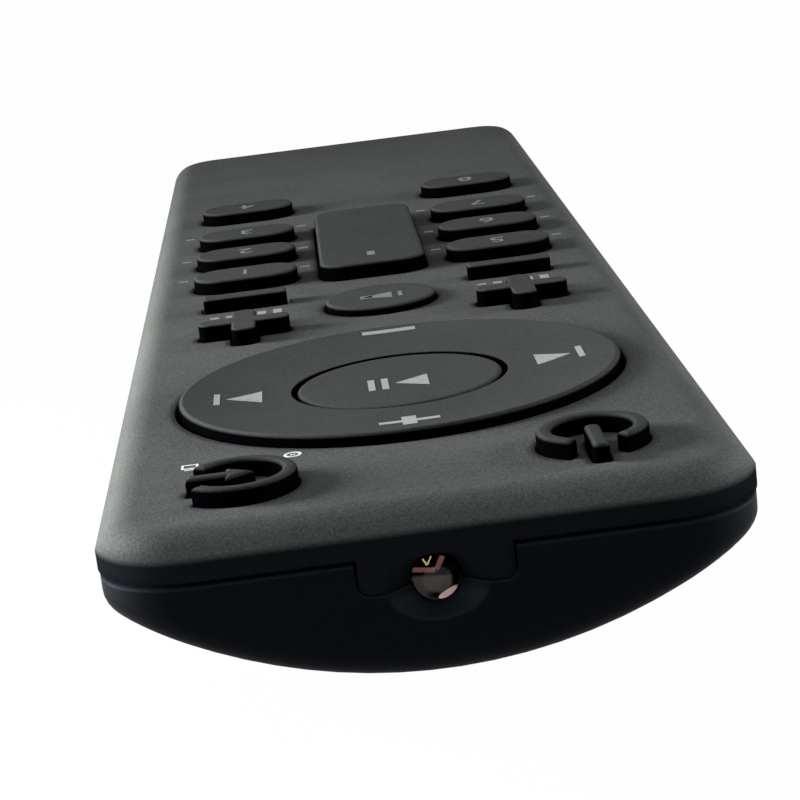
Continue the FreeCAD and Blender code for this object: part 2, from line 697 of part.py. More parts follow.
def bottom_shell():
    """The lower shell: belly, tongue, battery bay, board posts and the openings in them."""
    shell = lower_body()
    inner = slab(case_outline(LOWER_INSET + SIDE_WALL), 0, LOWER_RIM_LEVEL + 1).common(belly_tool(BELLY_WALL))
    shell = shell.cut(inner)
    tongue_inset = SKIRT_WALL + TONGUE_CLEARANCE
    tongue = slab(case_outline(tongue_inset), LOWER_RIM_LEVEL - SIDE_WALL, SKIRT_LEVEL + TONGUE_HEIGHT)
    tongue = tongue.cut(slab(case_outline(tongue_inset + TONGUE_WALL + LOWER_INSET),
                             LOWER_RIM_LEVEL - SIDE_WALL, SKIRT_LEVEL + TONGUE_HEIGHT))
    outer_half = BAY_HALF_WIDTH + BAY_SIDE_WALL
    bay = block(-outer_half, outer_half, at(BAY_FRONT_ALONG - BAY_END_WALL),
                at(BAY_BACK_ALONG + BAY_END_WALL), 0, BAY_ROOF_TOP).common(belly_tool(BELLY_WALL / 2))
    additions = [tongue, bay, cover_ledge()] + snap_beads(0)
    for along in POST_ALONG:
        for x in (-POST_X, POST_X):
            post = rod(x, at(along), POST_RADIUS, 0, BOARD_BOTTOM)
            additions.append(post.common(belly_tool(BELLY_WALL / 2)))
    additions.append(window_pad(CASE_HEIGHT - WINDOW_PAD_DROP, LOWER_RIM_LEVEL))
    shell = shell.multiFuse(additions)
    cuts = [block(-BAY_HALF_WIDTH, BAY_HALF_WIDTH, at(BAY_FRONT_ALONG), at(BAY_BACK_ALONG), -1, BAY_CEILING),
            cover_space(COVER_GAP, COVER_SEAT_GAP, 1), window_tab(TAB_GAP), latch_slot()]
    for x in (-HOOK_X, HOOK_X):
        cuts.append(hook_slot(x))
    for x, y in screw_places():
        cuts.append(rod(x, y, SCREW_HOLE_RADIUS, BAY_CEILING - 1, BAY_ROOF_TOP + 1))
    slot = TERMINAL_SLOT_GAP
    for x in (-CELL_X, CELL_X):
        half = TERMINAL_TAB_HALF_WIDTH + slot
        cuts.append(block(x - half, x + half, at(BAY_FRONT_ALONG),
                          at(BAY_FRONT_ALONG + PLATE_SEAT_GAP + PLATE_THICKNESS + slot),
                          BAY_CEILING - 1, BAY_ROOF_TOP + 1))
    return shell.cut(cuts + window_dish()).removeSplitter()


def battery_cover():
    """The slice of belly over the cells, with two hooks, a latch blade and a thumb recess."""
    cover = cover_space(0, 0, 0).common(belly_cylinder(0))
    root_near = at(COVER_FRONT_ALONG) + COVER_GAP
    additions = []
    for x in (-HOOK_X, HOOK_X):
        left, right = x - HOOK_WIDTH / 2, x + HOOK_WIDTH / 2
        seat = belly_surface_level(abs(x) - HOOK_WIDTH / 2, BELLY_WALL / 2)
        additions.append(block(left, right, root_near, root_near + HOOK_ROOT, seat,
                               HOOK_BOTTOM + HOOK_THICKNESS))
        additions.append(block(left, right, at(COVER_FRONT_ALONG - HOOK_REACH), root_near + HOOK_ROOT,
                               HOOK_BOTTOM, HOOK_BOTTOM + HOOK_THICKNESS))
    blade_back = at(COVER_BACK_ALONG - LATCH_INSET)
    additions.append(block(-LATCH_HALF_WIDTH, LATCH_HALF_WIDTH, blade_back - LATCH_THICKNESS, blade_back,
                           BELLY_WALL / 2, LATCH_HEIGHT))
    nib_back = at(COVER_BACK_ALONG + COVER_GAP - NIB_GAP)
    additions.append(block(-LATCH_HALF_WIDTH, LATCH_HALF_WIDTH, blade_back - LATCH_THICKNESS, nib_back,
                           NIB_BOTTOM, NIB_TOP))
    cover = cover.multiFuse(additions)
    thumb_far = at(COVER_BACK_ALONG - THUMB_MARGIN)
    middle = thumb_far - THUMB_LENGTH / 2
    recess = slab(rounded_rectangle(0, middle, 2 * THUMB_HALF_WIDTH, THUMB_LENGTH, THUMB_LENGTH / 2 - 0.2),
                  -1, THUMB_DEPTH)
    ribs = []
    for index in range(THUMB_RIBS):
        y = middle + (index - (THUMB_RIBS - 1) / 2) * THUMB_RIB_PITCH
        ribs.append(block(-THUMB_HALF_WIDTH / 2, THUMB_HALF_WIDTH / 2, y - THUMB_RIB_WIDTH / 2,
                          y + THUMB_RIB_WIDTH / 2, THUMB_DEPTH / 2, THUMB_DEPTH + 1))
    recess = recess.cut(ribs)
    return cover.cut(recess).removeSplitter()


def nav_ring():
    """The four-way ring: dished top, raised rim, flange under the case and open centre."""
    top = CASE_HEIGHT
    bottom = top - RING_BODY_DEPTH
    flange_top = top - RING_FLANGE_TOP
    flange_bottom = flange_top - RING_FLANGE_THICKNESS
    sag = (RING_RIM_HEIGHT - RING_INNER_HEIGHT) / 4
    dish_radius = (RING_RADIUS + RING_HOLE_RADIUS) / 2
    dish_level = top + (RING_RIM_HEIGHT + RING_INNER_HEIGHT) / 2 - sag
    inner_edge = Vector(RING_HOLE_RADIUS, 0, top + RING_INNER_HEIGHT)
    rim_start = Vector(RING_RADIUS - RING_RIM_ROUND, 0, top + RING_RIM_HEIGHT)
    quarter = RING_RIM_ROUND * (1 - math.sqrt(0.5))
    rim_middle = Vector(RING_RADIUS - quarter, 0, top + RING_RIM_HEIGHT - quarter)
    rim_end = Vector(RING_RADIUS, 0, top + RING_RIM_HEIGHT - RING_RIM_ROUND)
    below = [rim_end, Vector(RING_RADIUS, 0, flange_top), Vector(RING_FLANGE_RADIUS, 0, flange_top),
             Vector(RING_FLANGE_RADIUS, 0, flange_bottom), Vector(RING_SKIRT_INNER_RADIUS, 0, flange_bottom),
             Vector(RING_SKIRT_INNER_RADIUS, 0, bottom), Vector(RING_HOLE_RADIUS, 0, bottom), inner_edge]
    edges = [Part.Arc(inner_edge, Vector(dish_radius, 0, dish_level), rim_start).toShape(),
             Part.Arc(rim_start, rim_middle, rim_end).toShape()]
    edges.extend(Part.makePolygon(below).Edges)
    profile = Part.Face(Part.Wire(edges))
    ring = profile.revolve(Vector(0, 0, 0), Vector(0, 0, 1), 360)
    ring.translate(Vector(0, at(RING_ALONG), 0))
    return ring


def nav_contacts():
    """Four rubber plungers with carbon tips under the ring."""
    bottom = BOARD_TOP + RING_PLUNGER_STOP_GAP
    top = CASE_HEIGHT - RING_BODY_DEPTH
    plungers = []
    for quarter in range(4):
        angle = math.radians(90 * quarter)
        x = RING_PLUNGER_ORBIT * math.cos(angle)
        y = at(RING_ALONG) + RING_PLUNGER_ORBIT * math.sin(angle)
        plungers.append(rod(x, y, RING_PLUNGER_RADIUS, bottom, top))
    return Part.makeCompound(plungers)


def nav_collar():
    """The soft collar on which the ring rocks."""
    y = at(RING_ALONG)
    top = CASE_HEIGHT - COLLAR_TOP
    bottom = MAT_TOP + COLLAR_REST_GAP
    return rod(0, y, COLLAR_OUTER_RADIUS, bottom, top).cut(rod(0, y, COLLAR_INNER_RADIUS, bottom, top))


def play_key():
    """The round key inside the ring."""
    y = at(RING_ALONG)
    top = CASE_HEIGHT + PLAY_HEIGHT
    flange_top = CASE_HEIGHT - PLAY_FLANGE_TOP
    flange_bottom = flange_top - PLAY_FLANGE_THICKNESS
    cap = rod(0, y, PLAY_RADIUS, flange_bottom, top)
    cap = cap.makeFillet(KEY_EDGE_ROUND, edges_at_level(cap, top))
    flange = rod(0, y, PLAY_FLANGE_RADIUS, flange_bottom, flange_top)
    contact = contact_bottom(PLAY_TRAVEL)
    plunger = rod(0, y, PLUNGER_RADIUS, contact + CONTACT_THICKNESS, flange_bottom)
    return joined([cap, flange, plunger])


def play_contact():
    """The carbon contact of the round key inside the ring."""
    bottom = contact_bottom(PLAY_TRAVEL)
    return rod(0, at(RING_ALONG), CONTACT_RADIUS, bottom, bottom + CONTACT_THICKNESS)


def board_plan(inset):
    """The plan of the circuit board, moved in by inset."""
    middle = (BOARD_FRONT_ALONG + BOARD_BACK_ALONG) / 2
    length = BOARD_BACK_ALONG - BOARD_FRONT_ALONG
    return rounded_rectangle(0, at(middle), 2 * (BOARD_HALF_WIDTH - inset), length - 2 * inset, BOARD_CORNER)


def lead_places():
    """The two holes of the infrared lens's leads."""
    return [(side * LEAD_SPACING / 2, at(LEAD_BEND_ALONG)) for side in (-1, 1)]


def circuit_board():
    """The board, with holes for the screw boss, the leads and the two battery terminals."""
    board = slab(board_plan(0), BOARD_BOTTOM, BOARD_TOP)
    cuts = [rod(x, y, SCREW_BOSS_RADIUS + SCREW_BOSS_GAP, BOARD_BOTTOM, BOARD_TOP) for x, y in screw_places()]
    cuts.extend(rod(x, y, LEAD_HOLE_RADIUS, BOARD_BOTTOM, BOARD_TOP) for x, y in lead_places())
    slot = TERMINAL_SLOT_GAP
    for x in (-CELL_X, CELL_X):
        half = TERMINAL_TAB_HALF_WIDTH + slot
        cuts.append(block(x - half, x + half, at(BAY_FRONT_ALONG) - slot,
                          at(BAY_FRONT_ALONG + PLATE_SEAT_GAP + PLATE_THICKNESS) + slot,
                          BOARD_BOTTOM, BOARD_TOP))
    return board.cut(cuts)


def key_mat():
    """The soft sheet on the board, open round every plunger."""
    mat = slab(board_plan(MAT_EDGE_INSET), BOARD_TOP, MAT_TOP)
    radius = PLUNGER_RADIUS + MAT_HOLE_GAP
    holes = [rod(x, y, radius, BOARD_TOP, MAT_TOP) for name, outlines, skirt, height, gap, (x, y) in key_list()]
    ring_y = at(RING_ALONG)
    holes.append(rod(0, ring_y, radius, BOARD_TOP, MAT_TOP))
    for quarter in range(4):
        angle = math.radians(90 * quarter)
        holes.append(rod(RING_PLUNGER_ORBIT * math.cos(angle), ring_y + RING_PLUNGER_ORBIT * math.sin(angle),
                         RING_PLUNGER_RADIUS + MAT_HOLE_GAP, BOARD_TOP, MAT_TOP))
    for x, y in screw_places():
        holes.append(rod(x, y, SCREW_BOSS_RADIUS + SCREW_BOSS_GAP, BOARD_TOP, MAT_TOP))
    for x, y in lead_places():
        holes.append(rod(x, y, LEAD_HOLE_RADIUS + MAT_HOLE_GAP, BOARD_TOP, MAT_TOP))
    slot = TERMINAL_SLOT_GAP
    for x in (-CELL_X, CELL_X):
        half = TERMINAL_TAB_HALF_WIDTH + slot
        holes.append(block(x - half, x + half, at(BAY_FRONT_ALONG) - slot,
                           at(BAY_FRONT_ALONG + PLATE_SEAT_GAP + PLATE_THICKNESS) + slot, BOARD_TOP, MAT_TOP))
    return mat.cut(holes)


def ir_led():
    """The clear lens with its dome to the front and its foot ring behind."""
    tip = at(LED_TIP_ALONG)
    centre = Vector(0, tip + LED_RADIUS, LED_LEVEL)
    back = LED_LENGTH - LED_RADIUS
    body = Part.makeCylinder(LED_RADIUS, back, centre, Vector(0, 1, 0))
    dome = Part.makeSphere(LED_RADIUS, centre)
    foot = Part.makeCylinder(LED_FLANGE_RADIUS, LED_FLANGE_THICKNESS,
                             centre + Vector(0, back - LED_FLANGE_THICKNESS, 0), Vector(0, 1, 0))
    return joined([body, dome, foot])


def led_leads():
    """Two wires from the lens, bent up into the board."""
    start = at(LED_TIP_ALONG + LED_LENGTH)
    leads = []
    for x, y in lead_places():
        drop = BOARD_THICKNESS
        level = LED_LEVEL - drop
        corner = Vector(x, y, level)
        first = Part.makeCylinder(LEAD_RADIUS, y - start, Vector(x, start, level), Vector(0, 1, 0))
        second = Part.makeCylinder(LEAD_RADIUS, BOARD_TOP - level, corner, Vector(0, 0, 1))
        leads.append(joined([first, Part.makeSphere(LEAD_RADIUS, corner), second]))
    return Part.makeCompound(leads)


def battery_cell(x, nub_to_front):
    """One cell: a can with a small nub at one end."""
    can_length = CELL_LENGTH - CELL_NUB_LENGTH
    front = BAY_FRONT_ALONG + PLATE_THICKNESS + PLATE_SEAT_GAP
    cell_front = front if nub_to_front else front + SPRING_LENGTH
    can_front = cell_front + CELL_NUB_LENGTH if nub_to_front else cell_front
    can = Part.makeCylinder(CELL_RADIUS, can_length, Vector(x, at(can_front), CELL_CENTRE_HEIGHT), Vector(0, 1, 0))
    can = can.makeFillet(CELL_EDGE, [edge for edge in can.Edges if edge.Closed])
    nub_start = cell_front if nub_to_front else can_front + can_length - CELL_EDGE
    nub = Part.makeCylinder(CELL_NUB_RADIUS, CELL_NUB_LENGTH + CELL_EDGE,
                            Vector(x, at(nub_start), CELL_CENTRE_HEIGHT), Vector(0, 1, 0))
    return can.fuse(nub).removeSplitter()


def biarc(start, start_way, end, end_way):
    """Two tangent arcs from start to end, leaving and arriving along the given unit directions."""
    chord = end - start
    ways = start_way + end_way
    spread = 2 * (1 - start_way.dot(end_way))
    reach = (math.sqrt(chord.dot(ways) ** 2 + spread * chord.dot(chord)) - chord.dot(ways)) / spread
    first_corner = start + start_way * reach
    second_corner = end - end_way * reach
    joint = (first_corner + second_corner) * 0.5
    arcs = []
    for near, corner, far in ((start, first_corner, joint), (joint, second_corner, end)):
        middle = (near + far) * 0.5
        rise = corner - middle
        half = (far - near).Length / 2
        sagitta = half * math.tan(math.atan2(rise.Length, half) / 2)
        arcs.append(Part.Arc(near, middle + rise.normalize() * sagitta, far).toShape())
    return arcs


def battery_spring(x, at_front):
    """A conical coil from its plate to the flat end of a cell, drawn as half turns of two arcs each."""
    rise = SPRING_LENGTH - 2 * SPRING_WIRE_RADIUS
    plate = PLATE_THICKNESS + PLATE_SEAT_GAP + SPRING_WIRE_RADIUS
    base_y = at(BAY_FRONT_ALONG + plate) if at_front else at(BAY_BACK_ALONG - plate)
    way = 1 if at_front else -1
    whole = 2 * math.pi * SPRING_TURNS
    widening = (SPRING_TIP_RADIUS - SPRING_BASE_RADIUS) / whole

    def place(angle):
        radius = SPRING_BASE_RADIUS + widening * angle
        return Vector(x + way * radius * math.cos(angle), base_y + way * rise * angle / whole,
                      CELL_CENTRE_HEIGHT + radius * math.sin(angle))

    def heading(angle):
        radius = SPRING_BASE_RADIUS + widening * angle
        across = widening * math.cos(angle) - radius * math.sin(angle)
        upward = widening * math.sin(angle) + radius * math.cos(angle)
        return Vector(way * across, way * rise / whole, upward).normalize()

    arcs = []
    for half_turn in range(2 * SPRING_TURNS):
        start = math.pi * half_turn
        end = start + math.pi
        arcs.extend(biarc(place(start), heading(start), place(end), heading(end)))
    section = Part.Wire(Part.makeCircle(SPRING_WIRE_RADIUS, place(0), heading(0)))
    return Part.Wire(arcs).makePipeShell([section], True, False)


def terminal(x):
    """A front contact plate with a tab up through the bay roof to the board."""
    near = at(BAY_FRONT_ALONG + PLATE_SEAT_GAP)
    far = near + PLATE_THICKNESS
    plate = block(x - PLATE_HALF_WIDTH, x + PLATE_HALF_WIDTH, near, far, PLATE_BOTTOM, PLATE_TOP)
    tab = block(x - TERMINAL_TAB_HALF_WIDTH, x + TERMINAL_TAB_HALF_WIDTH, near, far, PLATE_TOP,
                BOARD_TOP + TERMINAL_TAB_TOP)
    return joined([plate, tab])


def bridge_contact():
    """The plate at the tail end of the bay that joins the two cells."""
    far = at(BAY_BACK_ALONG - PLATE_SEAT_GAP)
    half = CELL_X + PLATE_HALF_WIDTH
    return block(-half, half, far - PLATE_THICKNESS, far, PLATE_BOTTOM, PLATE_TOP)


def case_screws():
    """Two self-tapping screws from the bay up into the bosses of the upper shell."""
    screws = []
    for x, y in screw_places():
        head_bottom = BAY_CEILING - SCREW_HEAD_HEIGHT
        head = rod(x, y, SCREW_HEAD_RADIUS, head_bottom, BAY_CEILING)
        head = head.makeFillet(SCREW_SLOT_DEPTH / 2, edges_at_level(head, head_bottom))
        shank = rod(x, y, SCREW_SHANK_RADIUS, BAY_CEILING - SCREW_SLOT_DEPTH / 2, CEILING_LEVEL)
        screw = joined([head, shank])
        for along_x in (True, False):
            half_x = SCREW_HEAD_RADIUS * 0.7 if along_x else SCREW_SLOT_WIDTH / 2
            half_y = SCREW_SLOT_WIDTH / 2 if along_x else SCREW_HEAD_RADIUS * 0.7
            screw = screw.cut(block(x - half_x, x + half_x, y - half_y, y + half_y,
                                    head_bottom - 1, head_bottom + SCREW_SLOT_DEPTH))
        screws.append(screw)
    return Part.makeCompound(screws)


def under_board(size, place):
    """A plain component body soldered under the board."""
    width, depth, height = size
    x, along = place
    return block(x - width / 2, x + width / 2, at(along) - depth / 2, at(along) + depth / 2,
                 BOARD_BOTTOM - height, BOARD_BOTTOM)


def buffer_capacitor():
    """A small can lying under the board."""
    x, along = CAPACITOR_PLACE
    return Part.makeCylinder(CAPACITOR_RADIUS, CAPACITOR_LENGTH,
                             Vector(x, at(along) - CAPACITOR_LENGTH / 2, BOARD_BOTTOM - CAPACITOR_RADIUS),
                             Vector(0, 1, 0))


def chip_resistors():
    """A row of small resistors under the board."""
    chips = [under_board(RESISTOR_SIZE, (RESISTOR_X, RESISTOR_ALONG + index * RESISTOR_PITCH))
             for index in range(RESISTOR_COUNT)]
    return Part.makeCompound(chips)


def main():
    nodes = {
        "top_shell": top_shell(),
        "bottom_shell": bottom_shell(),
        "battery_cover": battery_cover(),
        "nav_ring": nav_ring(),
        "nav_contacts": nav_contacts(),
        "nav_collar": nav_collar(),
        "play_key": play_key(),
        "play_key_contact": play_contact(),
        "circuit_board": circuit_board(),
        "key_mat": key_mat(),
        "ir_led": ir_led(),
        "led_leads": led_leads(),
        "battery_cell_left": battery_cell(-CELL_X, False),
        "battery_cell_right": battery_cell(CELL_X, True),
        "battery_spring_front": battery_spring(-CELL_X, True),
        "battery_spring_back": battery_spring(CELL_X, False),
        "terminal_negative": terminal(-CELL_X),
        "terminal_positive": terminal(CELL_X),
        "bridge_contact": bridge_contact(),
        "case_screws": case_screws(),
        "remote_ic": under_board(IC_SIZE, IC_PLACE),
        "resonator": under_board(RESONATOR_SIZE, RESONATOR_PLACE),
        "driver_transistor": under_board(TRANSISTOR_SIZE, TRANSISTOR_PLACE),
        "buffer_capacitor": buffer_capacitor(),
        "chip_resistors": chip_resistors(),
    }
    nodes.update(keys_and_contacts())
    for name, shape in nodes.items():
        shape.exportStep("parts/%s.step" % name)
        print(name, "valid" if shape.isValid() else "INVALID", len(shape.Solids), round(shape.Volume, 2))


main()
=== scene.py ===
# %% [markdown]
# # A soundbar remote control, from its CAD frame to a studio picture
# The construction of the remote comes packed as a frame: two shells, sprung keys, a rocking ring,
# the infrared lens and everything inside. This lesson dresses that frame. Nothing in it is moved
# or resized: each step either gives a piece its real finish or adds a small piece that the mould
# leaves to the printer or to the lamp maker, such as the light symbols on the keys and the metal
# inside the clear lens.

# %% Load the frame
import json
import math

import bpy
from mathutils import Matrix, Vector


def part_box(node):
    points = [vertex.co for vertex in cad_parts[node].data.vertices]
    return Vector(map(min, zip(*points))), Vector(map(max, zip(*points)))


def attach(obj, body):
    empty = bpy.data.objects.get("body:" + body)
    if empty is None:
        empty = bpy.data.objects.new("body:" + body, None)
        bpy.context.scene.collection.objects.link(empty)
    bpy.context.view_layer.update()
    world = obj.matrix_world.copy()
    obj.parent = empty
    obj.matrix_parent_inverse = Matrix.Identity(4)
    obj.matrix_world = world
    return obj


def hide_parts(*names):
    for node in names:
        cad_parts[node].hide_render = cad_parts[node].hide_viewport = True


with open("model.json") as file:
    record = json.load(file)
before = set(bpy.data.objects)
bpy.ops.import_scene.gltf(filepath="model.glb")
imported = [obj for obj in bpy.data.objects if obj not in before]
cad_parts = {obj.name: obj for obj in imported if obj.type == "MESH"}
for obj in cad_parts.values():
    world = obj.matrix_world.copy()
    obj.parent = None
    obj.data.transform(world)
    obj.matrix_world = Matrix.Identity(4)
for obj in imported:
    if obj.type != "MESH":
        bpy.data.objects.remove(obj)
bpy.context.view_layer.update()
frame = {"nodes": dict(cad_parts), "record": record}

nodes = frame["nodes"]

# %% [markdown]
# ## Sizes that the later steps share
# Blender works in metres and moulds are drawn in millimetres, so one constant turns one into the
# other. The frame itself says where the case ends and how high its top face lies, so nothing is
# typed twice. Places along the remote are measured from its infrared end, as its maker would.

# %% Sizes
MM = 0.001
FRONT_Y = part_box("top_shell")[0].y
TOP_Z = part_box("top_shell")[1].z


def at(along_mm):
    """The y of a place measured in millimetres from the infrared end."""
    return FRONT_Y + along_mm * MM


print("front edge at", round(FRONT_Y / MM, 2), "mm, top face at", round(TOP_Z / MM, 2), "mm")

# %% [markdown]
# ## The camera
# The picture was taken close to the infrared end, a little above the keys, with a long lens and
# the camera tipped to one side. A camera is easiest to think of as three turns: it looks along the
# remote, then pitches down, and last rolls about its own line of sight. Matrices in that order
# give the same view as a hand on a tripod head.

# %% Camera
CAMERA_PLACE = Vector((-4.543 * MM, at(-140.713), TOP_Z + 42.518 * MM))
YAW = math.radians(1.463)
PITCH = math.radians(14.290)
ROLL = math.radians(-7.053)
LEVEL = math.radians(90)
SENSOR_WIDTH = 36.0
FOCAL_PIXELS = 2425.91
PICTURE_PIXELS = 800
NEAREST = 5 * MM

camera_data = bpy.data.cameras.new("studio_camera")
camera_data.sensor_width = SENSOR_WIDTH
camera_data.lens = FOCAL_PIXELS / PICTURE_PIXELS * SENSOR_WIDTH
camera_data.clip_start = NEAREST
camera = bpy.data.objects.new("studio_camera", camera_data)
bpy.context.scene.collection.objects.link(camera)
camera.matrix_world = (Matrix.Translation(CAMERA_PLACE) @ Matrix.Rotation(-YAW, 4, "Z")
                       @ Matrix.Rotation(LEVEL - PITCH, 4, "X") @ Matrix.Rotation(ROLL, 4, "Z"))
bpy.context.scene.camera = camera
print("lens", round(camera_data.lens, 1), "mm")

# %% [markdown]
# ## Helpers for finishes
# Colours are written as the hex values that a paint chip would show, and one function turns them
# into the linear values that the renderer adds up. Another adds one shader node with its settings
# and its links, so that each finish below reads as a list of what it is made of. The value of a
# noise lies mostly in its middle, so a pattern stretches that middle to the range that it needs.

# %% Colour and node helpers
NOISE_MIDDLE = {"From Min": 0.35, "From Max": 0.65}


def linear(hex_colour):
    """The linear RGBA of an sRGB hex colour such as #2b2d2d."""
    channels = [int(hex_colour[start:start + 2], 16) / 255 for start in (1, 3, 5)]
    return tuple(c / 12.92 if c <= 0.04045 else ((c + 0.055) / 1.055) ** 2.4
                 for c in channels) + (1.0,)


def add_node(tree, kind, inputs=None, **settings):
    """One shader node, with its settings, its values and its links.

    A node given as an input stands for the first socket that it gives out.
    """
    node = tree.nodes.new(kind)
    for name, value in settings.items():
        setattr(node, name, value)
    for name, value in (inputs or {}).items():
        if isinstance(value, bpy.types.Node):
            value = next(socket for socket in value.outputs if socket.enabled)
        if isinstance(value, bpy.types.NodeSocket):
            tree.links.new(value, node.inputs[name])
        else:
            node.inputs[name].default_value = value
    return node


def new_material(name):
    """An empty node material, and the tree to build in."""
    material = bpy.data.materials.new(name)
    material.use_nodes = True
    tree = material.node_tree
    tree.nodes.clear()
    return material, tree


print("noise is stretched from", NOISE_MIDDLE)

# %% [markdown]
# ## Moulded ABS with a spark-eroded grain
# The upper shell and the keys are charcoal ABS, and the lower shell is black. A mould for such a
# case is eroded by sparks, which leaves a fine even grain, so the plastic scatters light and looks
# soft. Three things make it here: a noise at the grain's own size for the bump, one some
# centimetres wide that shifts tone and gloss a little, as handling does, and the Bevel node, which
# finds the moulded edges. Fingers and table tops polish those edges first, so there the plastic is
# smoother and a shade lighter. The real grain is about 0.05 mm and would vanish in a picture of
# this size, so it is drawn two or three times as coarse.
#
# The upright faces get a deep black that is painted shade, and the faces that look up keep the
# grey of the plastic, so the tone follows how far a face looks up. On the case the painted shade
# also takes over below one height, where its soft edge ends, and that gives the crisp line of the
# picture.

# %% What use and painted shade do to the plastic
PATCH_SHARE = 0.3
# How far the rounded normal agrees with the flat one: on an edge, and where the edge ends.
ON_EDGE, OFF_EDGE = 0.86, 0.99


def handled_tone(tree, place, patches, grain_mm, dark, light):
    """The colour of a handled face: two tones that patches and specks mix."""
    specks = add_node(tree, "ShaderNodeTexNoise", {
        "Vector": place, "Scale": 1 / (grain_mm * MM), "Detail": 2.0, "Roughness": 0.7})
    tone = add_node(tree, "ShaderNodeMath", {0: patches, 1: PATCH_SHARE, 2: specks},
                    operation="MULTIPLY_ADD")
    tone = add_node(tree, "ShaderNodeMapRange", {
        "Value": tone, "From Min": 0.45, "From Max": 0.85})
    return add_node(tree, "ShaderNodeMix", {
        "Factor": tone, "A": linear(dark), "B": linear(light)}, data_type="RGBA")


def worn_edge(tree, rounded, lift):
    """How worn a place is, from lift on a moulded edge to 0 where the edge ends."""
    flat = add_node(tree, "ShaderNodeNewGeometry").outputs["Normal"]
    facing = add_node(tree, "ShaderNodeVectorMath", {0: rounded, 1: flat},
                      operation="DOT_PRODUCT")
    return add_node(tree, "ShaderNodeMapRange", {
        "Value": facing, "From Min": ON_EDGE, "From Max": OFF_EDGE,
        "To Min": lift, "To Max": 0.0})


def rubbed_grey(tree, place, rounded, turn, steep, seam):
    """How grey a place is against the painted shade of the upright faces: by how far it looks up
    and, where a seam is given, by its height.
    """
    upward = add_node(tree, "ShaderNodeSeparateXYZ", {"Vector": rounded}).outputs["Z"]
    grey = add_node(tree, "ShaderNodeMapRange", {
        "Value": upward, "From Min": turn[0], "From Max": turn[1],
        "To Min": steep, "To Max": 1.0})
    if seam is None:
        return grey
    height = add_node(tree, "ShaderNodeSeparateXYZ", {"Vector": place}).outputs["Z"]
    above = add_node(tree, "ShaderNodeMapRange", {
        "Value": height, "From Min": seam[0], "From Max": seam[1]})
    return add_node(tree, "ShaderNodeMath", {0: grey, 1: above}, operation="MULTIPLY")


print("an edge shows where the normals agree by less than", OFF_EDGE)

# %% Moulded plastic
PATCH_MM = 14.0
GLOSS_SHIFT = 0.03
EDGE_POLISH = -0.25
GRAIN_HEIGHT_MM = 0.05


def moulded_plastic(name, dark, light, upright, roughness, grain_mm, edge_mm, edge_lift, turn,
                    grain_depth=0.4, specular=0.0, edge_colour="#a1a4a2", steep=0.0, seam=None):
    """Moulded plastic with its grain, handled patches, polished edges and painted shade on its
    upright faces.

    turn says how far a face looks up where its grey begins and where it is full, steep how much
    grey the upright faces keep, and seam the two heights between which the grey comes in.
    """
    material, tree = new_material(name)
    place = add_node(tree, "ShaderNodeTexCoord").outputs["Object"]
    patches = add_node(tree, "ShaderNodeTexNoise", {
        "Vector": place, "Scale": 1 / (PATCH_MM * MM), "Detail": 3.0, "Roughness": 0.6})
    rounded = add_node(tree, "ShaderNodeBevel", {"Radius": edge_mm * MM}, samples=4)
    edge = worn_edge(tree, rounded, edge_lift)
    worn = add_node(tree, "ShaderNodeMix", {
        "Factor": edge, "A": handled_tone(tree, place, patches, grain_mm, dark, light),
        "B": linear(edge_colour)}, data_type="RGBA")
    colour = add_node(tree, "ShaderNodeMix", {
        "Factor": rubbed_grey(tree, place, rounded, turn, steep, seam),
        "A": linear(upright), "B": worn}, data_type="RGBA")
    gloss = add_node(tree, "ShaderNodeMapRange", {
        "Value": patches, **NOISE_MIDDLE,
        "To Min": roughness + GLOSS_SHIFT, "To Max": roughness - GLOSS_SHIFT})
    polished = add_node(tree, "ShaderNodeMath", {0: edge, 1: EDGE_POLISH, 2: gloss},
                        operation="MULTIPLY_ADD")
    grain = add_node(tree, "ShaderNodeTexNoise", {
        "Vector": place, "Scale": 1 / (grain_mm * MM), "Detail": 2.0, "Roughness": 0.5})
    bump = add_node(tree, "ShaderNodeBump", {
        "Height": grain, "Strength": grain_depth, "Distance": GRAIN_HEIGHT_MM * MM,
        "Normal": rounded})
    shader = add_node(tree, "ShaderNodeBsdfPrincipled", {
        "Base Color": colour, "Roughness": polished, "Normal": bump, "IOR": 1.52,
        "Specular IOR Level": specular})
    add_node(tree, "ShaderNodeOutputMaterial", {"Surface": shader})
    return material


print("handling leaves patches", PATCH_MM, "mm wide")

# %% The four plastics
# The third colour of each plastic is painted shade for its upright faces, and on the case the same
# painted shade covers everything below the seam heights.
charcoal_abs = moulded_plastic(
    "charcoal_abs_grained", "#4d504e", "#696c6a", "#121417", 0.65, grain_mm=0.16, edge_mm=0.9,
    edge_lift=0.12, turn=(0.1, 0.8), grain_depth=0.6, steep=0.45,
    seam=(TOP_Z - 1.86 * MM, TOP_Z - 1.42 * MM))
key_moulding = dict(grain_mm=0.13, edge_mm=0.15, edge_lift=0.06, turn=(0.35, 0.95))
key_abs = moulded_plastic(
    "charcoal_abs_keys", "#3e4140", "#535654", "#030305", 0.62, **key_moulding)
symbol_abs = moulded_plastic(
    "charcoal_abs_symbol_keys", "#3b3e3d", "#4a4d4b", "#030305", 0.55, **key_moulding)
belly_abs = moulded_plastic(
    "black_abs_satin", "#1e242a", "#283035", "#080a0e", 0.5, grain_mm=0.1, edge_mm=0.35,
    edge_lift=0.1, turn=(0.1, 0.5), grain_depth=0.15, specular=0.02, edge_colour="#383e47")
print("plastics:", charcoal_abs.name, key_abs.name, symbol_abs.name, belly_abs.name)

# %% [markdown]
# ## Rubber and carbon
# The key mat is silicone rubber, moulded grey and powdered so that it doesn't stick. The pills
# under the keys are the same rubber filled with carbon. Rubber has no polish at all and a soft
# sheen at a low angle, which is dust and bloom on its skin.

# %% Rubber
BLOOM_MM = 3.0
RUBBER_GRAIN_MM = 0.25
RUBBER_GRAIN_HEIGHT_MM = 0.04


